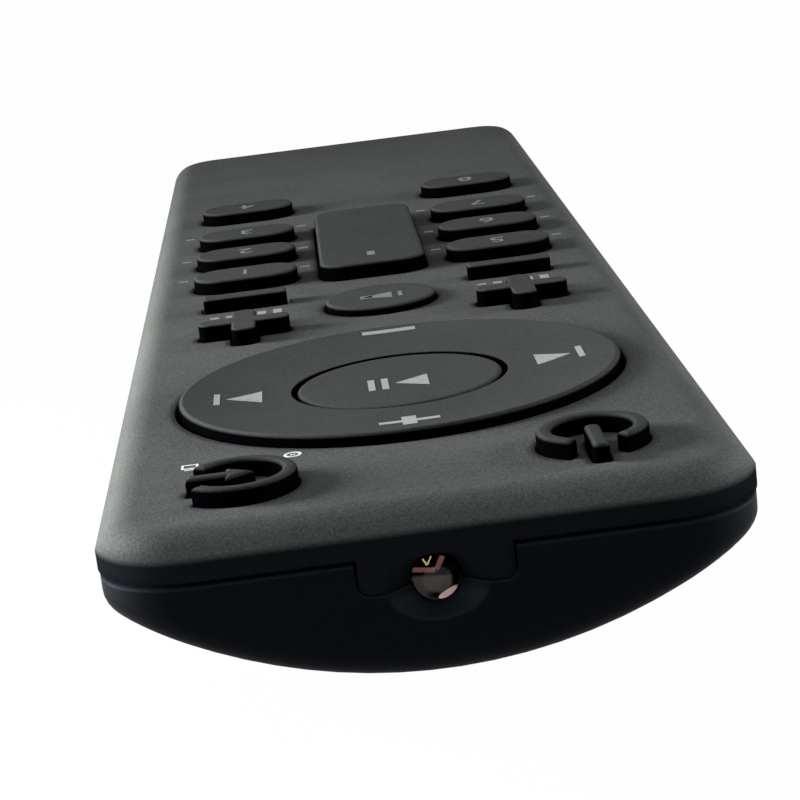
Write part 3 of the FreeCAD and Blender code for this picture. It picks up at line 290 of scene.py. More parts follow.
def moulded_rubber(name, dark, light, roughness, sheen):
    """Silicone rubber with a dusty bloom."""
    material, tree = new_material(name)
    place = add_node(tree, "ShaderNodeTexCoord").outputs["Object"]
    bloom = add_node(tree, "ShaderNodeTexNoise", {
        "Vector": place, "Scale": 1 / (BLOOM_MM * MM), "Detail": 4.0, "Roughness": 0.65})
    bloom = add_node(tree, "ShaderNodeMapRange", {"Value": bloom, **NOISE_MIDDLE})
    colour = add_node(tree, "ShaderNodeMix", {
        "Factor": bloom, "A": linear(dark), "B": linear(light)}, data_type="RGBA")
    grain = add_node(tree, "ShaderNodeTexNoise", {
        "Vector": place, "Scale": 1 / (RUBBER_GRAIN_MM * MM), "Detail": 3.0, "Roughness": 0.5})
    bump = add_node(tree, "ShaderNodeBump", {
        "Height": grain, "Strength": 0.3, "Distance": RUBBER_GRAIN_HEIGHT_MM * MM})
    shader = add_node(tree, "ShaderNodeBsdfPrincipled", {
        "Base Color": colour, "Roughness": roughness, "Normal": bump, "IOR": 1.41,
        "Sheen Weight": sheen})
    add_node(tree, "ShaderNodeOutputMaterial", {"Surface": shader})
    return material


grey_rubber = moulded_rubber("grey_silicone_rubber", "#5b5e60", "#6b6e70", 0.7, 0.2)
carbon_rubber = moulded_rubber("carbon_filled_rubber", "#101112", "#191a1b", 0.65, 0.05)
print("rubbers:", grey_rubber.name, carbon_rubber.name)

# %% [markdown]
# ## Plated and tinned metal
# Springs, contact plates, screws and leads are steel or copper with a thin plating. Plating
# follows the rolled or drawn metal below it, so fine lines run one way, and where contacts rub the
# gloss changes. A noise squeezed across them gives such lines. A metal has no colour of its own
# apart from what it reflects, so the base colour is its reflection.

# %% Metal
DRAWN_LINE_MM = 0.3
TARNISH_MM = 2.5
DRAWN_LINE_HEIGHT_MM = 0.02
# How much finer the lines are along each axis.
FINE_ACROSS_Z = (1.0, 1.0, 6.0)
FINE_ACROSS_X_AND_Z = (6.0, 1.0, 6.0)


def plated_metal(name, colour, tarnish, roughness, fineness=FINE_ACROSS_Z):
    """Plated metal with drawn lines that run along the axis of the smallest fineness."""
    material, tree = new_material(name)
    place = add_node(tree, "ShaderNodeTexCoord").outputs["Object"]
    lines = add_node(tree, "ShaderNodeVectorMath", {0: place, 1: fineness}, operation="MULTIPLY")
    drawn = add_node(tree, "ShaderNodeTexNoise", {
        "Vector": lines, "Scale": 1 / (DRAWN_LINE_MM * MM), "Detail": 2.0, "Roughness": 0.5})
    cloud = add_node(tree, "ShaderNodeTexNoise", {
        "Vector": place, "Scale": 1 / (TARNISH_MM * MM), "Detail": 4.0, "Roughness": 0.6})
    dulled = add_node(tree, "ShaderNodeMapRange", {
        "Value": cloud, "From Min": 0.45, "From Max": 0.75})
    shade = add_node(tree, "ShaderNodeMix", {
        "Factor": dulled, "A": linear(colour), "B": linear(tarnish)}, data_type="RGBA")
    gloss = add_node(tree, "ShaderNodeMapRange", {
        "Value": cloud, **NOISE_MIDDLE,
        "To Min": roughness - 0.05, "To Max": roughness + 0.12})
    bump = add_node(tree, "ShaderNodeBump", {
        "Height": drawn, "Strength": 0.25, "Distance": DRAWN_LINE_HEIGHT_MM * MM})
    shader = add_node(tree, "ShaderNodeBsdfPrincipled", {
        "Base Color": shade, "Metallic": 1.0, "Roughness": gloss, "Normal": bump})
    add_node(tree, "ShaderNodeOutputMaterial", {"Surface": shader})
    return material


nickel_steel = plated_metal("nickel_plated_steel", "#c9c6bd", "#a8a294", 0.25)
zinc_steel = plated_metal("zinc_plated_screw_steel", "#b9bdc4", "#8f9298", 0.35)
tinned_copper = plated_metal("tinned_copper_wire", "#cfd0cf", "#a3a5a4", 0.3,
                             FINE_ACROSS_X_AND_Z)
print("metals:", nickel_steel.name, zinc_steel.name, tinned_copper.name)

# %% [markdown]
# ## The circuit board
# A cheap remote has a board of phenolic paper, printed with green resist. Under the resist the
# copper tracks show as slightly lighter, slightly raised lines. A brick pattern has the long runs
# and square turns of such tracks, and its mortar is the bare gap between two of them.

# %% Board
TRACK_MM = 4.0
TRACK_HEIGHT_MM = 0.035
RESIST_CLOUD_MM = 6.0


def printed_board(name):
    """Green resist over copper tracks."""
    material, tree = new_material(name)
    place = add_node(tree, "ShaderNodeTexCoord").outputs["Object"]
    tracks = add_node(tree, "ShaderNodeTexBrick", {
        "Vector": place, "Scale": 1 / (TRACK_MM * MM), "Mortar Size": 0.05,
        "Mortar Smooth": 0.2, "Color1": linear("#2f6b3c"), "Color2": linear("#286035"),
        "Mortar": linear("#1d4a29"), "Brick Width": 1.6, "Row Height": 0.35})
    cloud = add_node(tree, "ShaderNodeTexNoise", {
        "Vector": place, "Scale": 1 / (RESIST_CLOUD_MM * MM), "Detail": 3.0, "Roughness": 0.5})
    thinner = add_node(tree, "ShaderNodeMapRange", {
        "Value": cloud, **NOISE_MIDDLE, "To Min": 0.0, "To Max": 0.25})
    colour = add_node(tree, "ShaderNodeMix", {
        "Factor": thinner, "A": tracks.outputs["Color"], "B": linear("#3c6a3a")},
        data_type="RGBA")
    bump = add_node(tree, "ShaderNodeBump", {
        "Height": tracks.outputs["Fac"], "Strength": 0.5, "Distance": TRACK_HEIGHT_MM * MM},
        invert=True)
    gloss = add_node(tree, "ShaderNodeMapRange", {
        "Value": cloud, **NOISE_MIDDLE, "To Min": 0.28, "To Max": 0.4})
    shader = add_node(tree, "ShaderNodeBsdfPrincipled", {
        "Base Color": colour, "Roughness": gloss, "IOR": 1.55, "Normal": bump})
    add_node(tree, "ShaderNodeOutputMaterial", {"Surface": shader})
    return material


green_board = printed_board("phenolic_board_green_resist")
print("board:", green_board.name)

# %% [markdown]
# ## Small electronics
# The chip and the transistor are black epoxy with a matte moulded skin, the resonator is a dipped
# ceramic and the capacitor a can in a shrunk sleeve. They use one recipe: a plain body with a
# little mottling.

# %% Electronics
MOTTLE_HEIGHT_MM = 0.03


def moulded_component(name, dark, light, roughness, mottle_mm=0.4):
    """A component body with a fine mottle."""
    material, tree = new_material(name)
    place = add_node(tree, "ShaderNodeTexCoord").outputs["Object"]
    mottle = add_node(tree, "ShaderNodeTexNoise", {
        "Vector": place, "Scale": 1 / (mottle_mm * MM), "Detail": 3.0, "Roughness": 0.5})
    tone = add_node(tree, "ShaderNodeMapRange", {"Value": mottle, **NOISE_MIDDLE})
    colour = add_node(tree, "ShaderNodeMix", {
        "Factor": tone, "A": linear(dark), "B": linear(light)}, data_type="RGBA")
    bump = add_node(tree, "ShaderNodeBump", {
        "Height": mottle, "Strength": 0.2, "Distance": MOTTLE_HEIGHT_MM * MM})
    gloss = add_node(tree, "ShaderNodeMapRange", {
        "Value": mottle, **NOISE_MIDDLE, "To Min": roughness, "To Max": roughness + 0.1})
    shader = add_node(tree, "ShaderNodeBsdfPrincipled", {
        "Base Color": colour, "Roughness": gloss, "Normal": bump, "IOR": 1.55})
    add_node(tree, "ShaderNodeOutputMaterial", {"Surface": shader})
    return material


chip_epoxy = moulded_component("black_moulding_epoxy", "#141516", "#1d1e1f", 0.6)
resonator_ceramic = moulded_component("blue_dipped_ceramic", "#22507d", "#2b5f92", 0.35)
capacitor_sleeve = moulded_component("black_shrink_sleeve", "#15171c", "#1c1f26", 0.3)
print("components:", chip_epoxy.name, resonator_ceramic.name, capacitor_sleeve.name)

# %% [markdown]
# ## The cells
# An AAA cell is a steel can in a printed sleeve. The sleeve stops just short of both ends, and the
# end with the nub carries a pale band, which is how a hand in the dark finds plus. The two cells
# lie head to tail, so each one's band is worked out from the end on which its nub stands.

# %% Cells
NUB_MM = 0.8
CELL_CAP_MM = 1.2
CELL_BAND_MM = 12.0
SCUFF_MM = 1.5


def sleeved_cell(name, node, nub_sign):
    """A cell's sleeve, its pale band and its bare ends. nub_sign is 1 for a nub at the +Y end."""
    low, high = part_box(node)
    nub_y = (high.y if nub_sign > 0 else low.y) - nub_sign * NUB_MM * MM
    length = high.y - low.y - NUB_MM * MM
    material, tree = new_material(name)
    place = add_node(tree, "ShaderNodeTexCoord").outputs["Object"]
    along = add_node(tree, "ShaderNodeSeparateXYZ", {"Vector": place}).outputs["Y"]
    from_nub = add_node(tree, "ShaderNodeMath", {0: along, 1: -nub_sign, 2: nub_sign * nub_y},
                        operation="MULTIPLY_ADD")
    scuffs = add_node(tree, "ShaderNodeTexNoise", {
        "Vector": place, "Scale": 1 / (SCUFF_MM * MM), "Detail": 4.0, "Roughness": 0.7})
    faded = add_node(tree, "ShaderNodeMapRange", {
        "Value": scuffs, **NOISE_MIDDLE, "To Min": 0.0, "To Max": 0.5})
    sleeve = add_node(tree, "ShaderNodeMix", {
        "Factor": faded, "A": linear("#34465a"), "B": linear("#46596e")}, data_type="RGBA")
    in_band = add_node(tree, "ShaderNodeMath", {0: from_nub, 1: CELL_BAND_MM * MM},
                       operation="LESS_THAN")
    printed = add_node(tree, "ShaderNodeMix", {
        "Factor": in_band, "A": sleeve, "B": linear("#b4b8ba")}, data_type="RGBA")
    near_nub = add_node(tree, "ShaderNodeMath", {0: from_nub, 1: CELL_CAP_MM * MM},
                        operation="LESS_THAN")
    near_foot = add_node(tree, "ShaderNodeMath", {0: from_nub, 1: length - CELL_CAP_MM * MM},
                         operation="GREATER_THAN")
    bare = add_node(tree, "ShaderNodeMath", {0: near_nub, 1: near_foot}, operation="MAXIMUM")
    colour = add_node(tree, "ShaderNodeMix", {
        "Factor": bare, "A": printed, "B": linear("#c6c3bb")}, data_type="RGBA")
    gloss = add_node(tree, "ShaderNodeMapRange", {
        "Value": scuffs, **NOISE_MIDDLE, "To Min": 0.0, "To Max": 0.12})
    gloss = add_node(tree, "ShaderNodeMath", {0: gloss, 1: 0.26}, operation="ADD")
    shader = add_node(tree, "ShaderNodeBsdfPrincipled", {
        "Base Color": colour, "Metallic": bare, "Roughness": gloss})
    add_node(tree, "ShaderNodeOutputMaterial", {"Surface": shader})
    return material


spring_low, spring_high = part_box("battery_spring_front")
spring_x = (spring_low.x + spring_high.x) / 2
cell_finish = {}
for node in ("battery_cell_left", "battery_cell_right"):
    on_spring_side = (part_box(node)[0].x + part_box(node)[1].x) * spring_x > 0
    cell_finish[node] = sleeved_cell(node + "_sleeve", node, 1 if on_spring_side else -1)
print("cells:", sorted(cell_finish))

# %% [markdown]
# ## Clear epoxy
# The lens is cast from clear epoxy. Glass and clear plastic bend light by their IOR and have no
# colour, only a faint warm tint in the depth. The white surroundings would lay a veil over the
# dome, so it mirrors only a third as much as real epoxy. Lamps should reach the metal inside, and
# a renderer counts a clear solid as opaque to lamps, so shadow rays pass the lens as if it weren't
# there.

# %% Clear lens
EPOXY_TINT = linear("#f3ece6")
EPOXY_IOR = 1.53
MIRROR_SHARE = 0.3
HAZE_MM = 0.5


def clear_epoxy(name):
    """Clear cast epoxy that lets lamp light in."""
    material, tree = new_material(name)
    place = add_node(tree, "ShaderNodeTexCoord").outputs["Object"]
    haze = add_node(tree, "ShaderNodeTexNoise", {
        "Vector": place, "Scale": 1 / (HAZE_MM * MM), "Detail": 2.0, "Roughness": 0.5})
    haze = add_node(tree, "ShaderNodeMapRange", {
        "Value": haze, **NOISE_MIDDLE, "To Min": 0.01, "To Max": 0.05})
    glassy = add_node(tree, "ShaderNodeBsdfPrincipled", {
        "Base Color": EPOXY_TINT, "Transmission Weight": 1.0, "Roughness": haze,
        "IOR": EPOXY_IOR})
    dull = add_node(tree, "ShaderNodeBsdfRefraction", {
        "Color": EPOXY_TINT, "Roughness": haze, "IOR": EPOXY_IOR})
    lens = add_node(tree, "ShaderNodeMixShader", {"Fac": MIRROR_SHARE, 1: dull, 2: glassy})
    open_air = add_node(tree, "ShaderNodeBsdfTransparent", {"Color": EPOXY_TINT})
    shadow = add_node(tree, "ShaderNodeLightPath").outputs["Is Shadow Ray"]
    mixed = add_node(tree, "ShaderNodeMixShader", {"Fac": shadow, 1: lens, 2: open_air})
    add_node(tree, "ShaderNodeOutputMaterial", {"Surface": mixed})
    return material


lens_epoxy = clear_epoxy("clear_cast_epoxy")
print("lens:", lens_epoxy.name)

# %% [markdown]
# ## Dressing the frame
# The record gives each piece of the frame a material slot. A table from slot to finish dresses
# every piece, so no hidden one is forgotten. The cells get their own sleeves, and the two small
# symbol keys a slightly darker and glossier plastic.

# %% Dress the frame
finish_of_slot = {
    "upper_case": charcoal_abs, "lower_case": belly_abs, "key_plastic": key_abs,
    "ring_plastic": key_abs, "lens": lens_epoxy, "board": green_board,
    "rubber_mat": grey_rubber, "carbon_rubber": carbon_rubber, "tinned_wire": tinned_copper,
    "plated_steel": nickel_steel, "screw_steel": zinc_steel, "cell_sleeve": nickel_steel,
    "chip_plastic": chip_epoxy, "resonator_case": resonator_ceramic,
    "capacitor_can": capacitor_sleeve}
own_finish = dict(cell_finish, power_key=symbol_abs, source_key=symbol_abs)
for subpart in frame["record"]["subparts"]:
    finish = own_finish.get(subpart["node"], finish_of_slot[subpart["material_slot"]])
    for material_slot in nodes[subpart["node"]].material_slots:
        material_slot.material = finish

# %% [markdown]
# ## The clear lens and the metal inside it
# The infrared lamp is a 3 mm one. Its lens is a short rod with a dome at the front and a foot ring
# behind. A cylinder is a good start: its back face is drawn out into the foot, and its front face
# is drawn forward in narrowing rings that follow a quarter circle, which makes the dome. The
# frame's own lens is made of small flat faces, and a clear piece shows every one of them, so this
# smooth one takes its place.

# %% Modelling helpers
SMOOTH_BELOW = math.radians(35)


def start_piece(name):
    """Names the primitive that was just added, or the piece that was just joined."""
    piece = bpy.context.object
    piece.name = name
    piece.data.name = name
    return piece


def settle(piece):
    """Leaves the piece alone selected, with its place, turn and size moved into its mesh."""
    bpy.ops.object.select_all(action="DESELECT")
    piece.select_set(True)
    bpy.context.view_layer.objects.active = piece
    bpy.ops.object.transform_apply(location=True, rotation=True, scale=True)
    return piece


def stretch(centre, value):
    """In object mode, resizes the active piece about a centre by a factor along each axis."""
    bpy.ops.object.mode_set(mode="EDIT")
    bpy.ops.mesh.select_all(action="SELECT")
    bpy.ops.transform.resize(value=value, center_override=centre)
    bpy.ops.object.mode_set(mode="OBJECT")


def pick_faces(piece, wanted):
    """In edit mode, selects just the faces for which wanted(face) is true."""
    bpy.ops.mesh.select_mode(type="FACE")
    bpy.ops.mesh.select_all(action="DESELECT")
    bpy.ops.object.mode_set(mode="OBJECT")
    for face in piece.data.polygons:
        face.select = wanted(face)
    bpy.ops.object.mode_set(mode="EDIT")


print("smooth below", round(math.degrees(SMOOTH_BELOW)), "degrees")

# %% Sizes of the lens
LENS_LOW, LENS_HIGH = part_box("ir_led")
LENS_RADIUS = 1.5 * MM
FOOT_LENGTH = 1.0 * MM
foot_radius = (LENS_HIGH.x - LENS_LOW.x) / 2
lens_x = (LENS_LOW.x + LENS_HIGH.x) / 2
lens_z = (LENS_LOW.z + LENS_HIGH.z) / 2
rod_length = LENS_HIGH.y - LENS_LOW.y - FOOT_LENGTH
rod_end = LENS_LOW.y + rod_length
dome_start = LENS_LOW.y + LENS_RADIUS
print("rod", round(rod_length / MM, 2), "mm, foot", round(2 * foot_radius / MM, 2), "mm wide")

# %% Rod and foot
LENS_SIDES = 96
FACES_BACK = 0.9

bpy.ops.object.select_all(action="DESELECT")
bpy.ops.mesh.primitive_cylinder_add(
    vertices=LENS_SIDES, radius=LENS_RADIUS, depth=rod_length - LENS_RADIUS,
    location=(lens_x, (dome_start + rod_end) / 2, lens_z), rotation=(math.radians(90), 0, 0))
lens = settle(start_piece("clear_lens"))
bpy.ops.object.mode_set(mode="EDIT")
pick_faces(lens, lambda face: face.normal.y > FACES_BACK)
bpy.ops.mesh.extrude_region_move(TRANSFORM_OT_translate={"value": (0, 0, 0)})
bpy.ops.transform.resize(value=(foot_radius / LENS_RADIUS, 1, foot_radius / LENS_RADIUS),
                         center_override=(lens_x, rod_end, lens_z))
bpy.ops.mesh.extrude_region_move(TRANSFORM_OT_translate={"value": (0, FOOT_LENGTH, 0)})
print("foot drawn", FOOT_LENGTH / MM, "mm back")

# %% Dome
DOME_STEPS = 24
DOME_DEGREES = 89

pick_faces(lens, lambda face: face.normal.y < -FACES_BACK)
for step in range(DOME_STEPS):
    low, high = (math.radians(DOME_DEGREES * ring / DOME_STEPS) for ring in (step, step + 1))
    bpy.ops.mesh.extrude_region_move(TRANSFORM_OT_translate={
        "value": (0, (math.sin(low) - math.sin(high)) * LENS_RADIUS, 0)})
    narrow = math.cos(high) / math.cos(low)
    bpy.ops.transform.resize(value=(narrow, 1, narrow), center_override=(lens_x, 0, lens_z))
bpy.ops.mesh.merge(type="COLLAPSE")
bpy.ops.mesh.select_all(action="SELECT")
bpy.ops.mesh.normals_make_consistent(inside=False)
bpy.ops.object.mode_set(mode="OBJECT")
bpy.ops.object.shade_smooth_by_angle(angle=SMOOTH_BELOW)
lens.data.materials.append(lens_epoxy)
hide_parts("ir_led")
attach(lens, "case")
print("lens with", len(lens.data.polygons), "faces")

# %% [markdown]
# ## Inside the lens
# Two flat leads reach into the epoxy. One ends in a broad grey anvil that carries the chip, the
# other is drawn across it, and a gold wire, looped like a V, joins the two. The dome magnifies all
# of it nearly twice, so even these pieces, about a millimetre wide at most, show in the picture as
# glints of copper and gold. Blocks with rounded edges and two round legs are enough for that.

# %% Lamp metals
gold_wire = plated_metal("gold_bond_wire", "#dacd9f", "#b5a77e", 0.25)
copper_lead = plated_metal("copper_leadframe", "#74524e", "#4a3534", 0.35, FINE_ACROSS_X_AND_Z)
silvered_lead = plated_metal("silvered_leadframe", "#ada09f", "#766869", 0.3,
                             FINE_ACROSS_X_AND_Z)
anvil_grey = moulded_component("oxidised_anvil", "#15161a", "#1f2024", 0.4, mottle_mm=0.15)
print("lamp metals:", gold_wire.name, copper_lead.name, silvered_lead.name, anvil_grey.name)

# %% Anvil and leads
INSIDE_Y = LENS_LOW.y + 2.2 * MM
ROUNDED_SHARE = 0.2
# For each block its place right, back and up from the lens's axis and its size, both in
# millimetres, its lean in degrees and its finish.
LENS_BLOCKS = {
    "lens_anvil": ((-0.1, 0.45, -0.52), (1.05, 0.5, 0.5), -5, anvil_grey),
    "lens_anvil_edge": ((0.22, 0.1, -0.74), (0.95, 0.2, 0.13), 25, silvered_lead),
    "lens_lead_left": ((-0.38, 0.25, -0.05), (0.82, 0.4, 0.2), -7, copper_lead),
    "lens_lead_right": ((0.17, 0.25, 0.12), (0.2, 0.4, 0.5), -29, copper_lead),
}


def finish_lens_part(name, finish):
    """Smooths, dresses and places a piece inside the lens."""
    piece = settle(start_piece(name))
    bpy.ops.object.shade_smooth_by_angle(angle=SMOOTH_BELOW)
    piece.data.materials.append(finish)
    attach(piece, "case")
    return piece


for name, (place_mm, size_mm, lean, finish) in LENS_BLOCKS.items():
    right, back, up = place_mm
    centre = (lens_x + right * MM, INSIDE_Y + back * MM, lens_z + up * MM)
    bpy.ops.object.select_all(action="DESELECT")
    bpy.ops.mesh.primitive_cube_add(size=MM, location=centre)
    settle(start_piece(name))
    stretch(centre, size_mm)
    bpy.ops.object.mode_set(mode="EDIT")
    bpy.ops.mesh.select_all(action="SELECT")
    bpy.ops.mesh.bevel(offset=min(size_mm) * ROUNDED_SHARE * MM, segments=3, affect="EDGES",
                       clamp_overlap=True)
    bpy.ops.transform.rotate(value=math.radians(lean), orient_axis="Y", center_override=centre)
    bpy.ops.mesh.normals_make_consistent(inside=False)
    bpy.ops.object.mode_set(mode="OBJECT")
    finish_lens_part(name, finish)
print("inside the lens:", sorted(LENS_BLOCKS))

# %% Bond wire
WIRE_SIDES = 16


def wire_leg(start_mm, end_mm, radius_mm):
    """A round leg between two places, each right and up from the lens's axis."""
    right, up = end_mm[0] - start_mm[0], end_mm[1] - start_mm[1]
    middle = (lens_x + (start_mm[0] + right / 2) * MM, INSIDE_Y,
              lens_z + (start_mm[1] + up / 2) * MM)
    bpy.ops.object.select_all(action="DESELECT")
    bpy.ops.mesh.primitive_cylinder_add(
        vertices=WIRE_SIDES, radius=radius_mm * MM, depth=math.hypot(right, up) * MM,
        location=middle, rotation=(0, math.atan2(right, up), 0))
    return settle(start_piece("leg"))


legs = [wire_leg((-0.25, 0.15), (-0.39, 0.42), 0.06),
        wire_leg((-0.22, 0.15), (-0.07, 0.46), 0.045)]
for leg in legs:
    leg.select_set(True)
bpy.ops.object.join()
wire = finish_lens_part("lens_bond_wire", gold_wire)
print("bond wire", round(wire.dimensions.x / MM, 2), "mm across")

# %% [markdown]
# ## Printed symbols
# The ring, the key in it and the round key carry symbols that were pad-printed in light grey ink
# about two hundredths of a millimetre thick. Each symbol starts as flat faces, is cut finely
# enough to bend, laid on the dished ring by a Shrinkwrap modifier and thickened by Solidify, so it
# is real ink on a real surface and not a picture of it. Words that the maker printed beside them
# aren't copied.

# %% Ink
INK_PATCH_MM = 0.5
INK_GRAIN_MM = 0.14
INK_GRAIN_HEIGHT_MM = 0.03


def printing_ink(name, colour, thin):
    """Pad-printed ink, thinner where the pad left it uneven."""
    material, tree = new_material(name)
    place = add_node(tree, "ShaderNodeTexCoord").outputs["Object"]
    cover = add_node(tree, "ShaderNodeTexNoise", {
        "Vector": place, "Scale": 1 / (INK_PATCH_MM * MM), "Detail": 4.0, "Roughness": 0.7})
    thinned = add_node(tree, "ShaderNodeMapRange", {
        "Value": cover, "From Min": 0.5, "From Max": 0.75})
    shade = add_node(tree, "ShaderNodeMix", {
        "Factor": thinned, "A": linear(colour), "B": linear(thin)}, data_type="RGBA")
    grain = add_node(tree, "ShaderNodeTexNoise", {
        "Vector": place, "Scale": 1 / (INK_GRAIN_MM * MM), "Detail": 2.0, "Roughness": 0.5})
    bump = add_node(tree, "ShaderNodeBump", {
        "Height": grain, "Strength": 0.4, "Distance": INK_GRAIN_HEIGHT_MM * MM})
    shader = add_node(tree, "ShaderNodeBsdfPrincipled", {
        "Base Color": shade, "Roughness": 0.55, "IOR": 1.5, "Specular IOR Level": 0.2,
        "Normal": bump})
    add_node(tree, "ShaderNodeOutputMaterial", {"Surface": shader})
    return material


grey_ink = printing_ink("light_grey_pad_printing_ink", "#9fa29f", "#7f827f")
faint_ink = printing_ink("faint_grey_pad_printing_ink", "#707370", "#5d605d")
white_ink = printing_ink("white_pad_printing_ink", "#f4f5f2", "#c6c8c5")
print("inks:", grey_ink.name, faint_ink.name, white_ink.name)

# %% [markdown]
# ## The shapes of the marks
# Every mark is made of flat bars, triangles, rings and digits. They start above the highest key,
# from where the modifier lays them straight down on their surface. A three-sided circle is one and
# a half radii long and the root of three radii across, which sets how far a triangle is stretched.

# %% Flat shapes
START_Z = TOP_Z + 2 * MM
RING_SIDES = 32
# The height of a digit as a share of the font's size.
FONT_HEIGHT = 0.73


def mark_bar(x_mm, along_mm, width_mm, depth_mm):
    """A flat bar above its place on the remote."""
    centre = (x_mm * MM, at(along_mm), START_Z)
    bpy.ops.object.select_all(action="DESELECT")
    bpy.ops.mesh.primitive_plane_add(size=MM, location=centre)
    bar = settle(start_piece("bar"))
    stretch(centre, (width_mm, depth_mm, 1))
    return bar


def mark_triangle(tip_x_mm, base_x_mm, along_mm, height_mm):
    """A flat triangle that points along X, above its place on the remote."""
    reach = tip_x_mm - base_x_mm
    centre = ((tip_x_mm - reach * 2 / 3) * MM, at(along_mm), START_Z)
    bpy.ops.object.select_all(action="DESELECT")
    bpy.ops.mesh.primitive_circle_add(
        vertices=3, radius=MM, fill_type="NGON", location=centre,
        rotation=(0, 0, math.radians(-90 if reach > 0 else 90)))
    triangle = settle(start_piece("triangle"))
    stretch(centre, (abs(reach) / 1.5, height_mm / math.sqrt(3), 1))
    return triangle


def mark_ring(x_mm, along_mm, radius_mm, width_mm):
    """A flat ring above its place on the remote."""
    bpy.ops.object.select_all(action="DESELECT")
    bpy.ops.mesh.primitive_circle_add(
        vertices=RING_SIDES, radius=radius_mm * MM, fill_type="NGON",
        location=(x_mm * MM, at(along_mm), START_Z))
    ring = settle(start_piece("ring"))
    bpy.ops.object.mode_set(mode="EDIT")
    bpy.ops.mesh.select_all(action="SELECT")
    bpy.ops.mesh.inset(thickness=width_mm * MM)
    bpy.ops.mesh.delete(type="FACE")
    bpy.ops.object.mode_set(mode="OBJECT")
    return ring


def mark_digit(digit, x_mm, along_mm, height_mm):
    """A plain digit above its place, upright for the user, who sits at the far end."""
    bpy.ops.object.select_all(action="DESELECT")
    bpy.ops.object.text_add(location=(x_mm * MM, at(along_mm), START_Z),
                            rotation=(0, 0, math.radians(180)))
    letter = bpy.context.object
    letter.data.body = digit
    letter.data.size = height_mm / FONT_HEIGHT * MM
    letter.data.align_x = "CENTER"
    letter.data.align_y = "CENTER"
    bpy.ops.object.convert(target="MESH")
    return settle(start_piece("digit"))


print("marks start", round(START_Z / MM, 2), "mm up")

# %% Printing
INK_MM = 0.02
# The skin reaches from the top of the ink to a little below the surface, so no gap shows.
SKIN_MM = INK_MM * 1.5


def print_mark(name, shapes, node, ink, body, cuts=0):
    """Joins flat shapes to one symbol and lays it on a node as a thin closed skin of ink."""
    bpy.ops.object.select_all(action="DESELECT")
    for shape in shapes:
        shape.select_set(True)
    bpy.context.view_layer.objects.active = shapes[0]
    if len(shapes) > 1:
        bpy.ops.object.join()
    mark = start_piece(name)
    if cuts:
        bpy.ops.object.mode_set(mode="EDIT")
        bpy.ops.mesh.select_all(action="SELECT")
        bpy.ops.mesh.subdivide(number_cuts=cuts)
        bpy.ops.object.mode_set(mode="OBJECT")
    wrap = mark.modifiers.new("wrap", "SHRINKWRAP")
    wrap.target = nodes[node]
    wrap.wrap_method = "PROJECT"
    wrap.use_project_z = True
    wrap.use_negative_direction = True
    wrap.use_positive_direction = False
    wrap.offset = INK_MM * MM
    bpy.ops.object.modifier_apply(modifier=wrap.name)
    skin = mark.modifiers.new("skin", "SOLIDIFY")
    skin.thickness = SKIN_MM * MM
    skin.offset = -1
    bpy.ops.object.modifier_apply(modifier=skin.name)
    mark.data.materials.append(ink)
    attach(mark, body)


print("ink", INK_MM, "mm thick")

# %% Ring and centre symbols
RING_CUTS = 5
ring_marks = {
    "next_mark": [mark_bar(-13.4, 31.2, 0.45, 3.2), mark_triangle(-12.7, -10.1, 31.2, 3.2)],
    "previous_mark": [mark_bar(13.4, 31.7, 0.45, 3.2), mark_triangle(12.7, 10.1, 31.7, 3.2)],
    "minus_mark": [mark_bar(0, 46.0, 4.2, 0.75)],
    "plus_mark": [mark_bar(-1.3, 18.5, 1.6, 0.8), mark_bar(1.3, 18.5, 1.6, 0.8),
                  mark_bar(0, 18.55, 1.0, 3.0)],
}
for name, shapes in ring_marks.items():
    print_mark(name, shapes, "nav_ring", grey_ink, "nav_ring", RING_CUTS)
play = [mark_bar(-2.1, 30.4, 0.5, 3.2), mark_bar(-1.1, 30.4, 0.5, 3.2),
        mark_triangle(-0.34, 2.05, 30.3, 3.2)]
print_mark("play_mark", play, "play_key", grey_ink, "play_key", RING_CUTS)
mute = [mark_bar(-1.2, 59.8, 1.0, 1.1), mark_triangle(-1.7, 1.0, 59.8, 2.2),
        mark_bar(1.7, 59.8, 0.35, 1.8)]
print_mark("mute_mark", mute, "round_key", faint_ink, "round_key", RING_CUTS)
print("printed:", sorted(ring_marks) + ["play_mark", "mute_mark"])

# %% [markdown]
# ## Digits and small marks
# The pill keys and the rows between them carry small print. In its place the pills get plain
# digits, the rows between them a tick at each end, the plus and minus keys a ramp that stands for
# a level, and the key at the front a screen and a disc for two sources. They are upright for the
# user, who holds the far end.

# %% Digits and level ramps
PILL_ALONG_MM = (75.4, 85.8, 96.1, 111.1)
COLUMN_X_MM = 11.5
DIGIT_MM = 2.3
RAMP_BARS = 5
RAMP_PITCH_MM = 1.35
for side, sign in (("left", -1), ("right", 1)):
    for number, along_mm in enumerate(PILL_ALONG_MM, 1):
        key = "pill_key_%s_%d" % (side, number)
        digit = str(number if sign < 0 else number + len(PILL_ALONG_MM))
        shape = mark_digit(digit, sign * COLUMN_X_MM, along_mm, DIGIT_MM)
        print_mark("digit_" + digit, [shape], key, faint_ink, key)
    ramp = [mark_bar(sign * COLUMN_X_MM + (step - RAMP_BARS // 2) * RAMP_PITCH_MM, 62.2,
                     0.75, 0.5 + 0.25 * step) for step in range(RAMP_BARS)]
    print_mark("level_mark_" + side, ramp, "top_shell", grey_ink, "case")
print("digits 1 to", digit, "and two ramps")

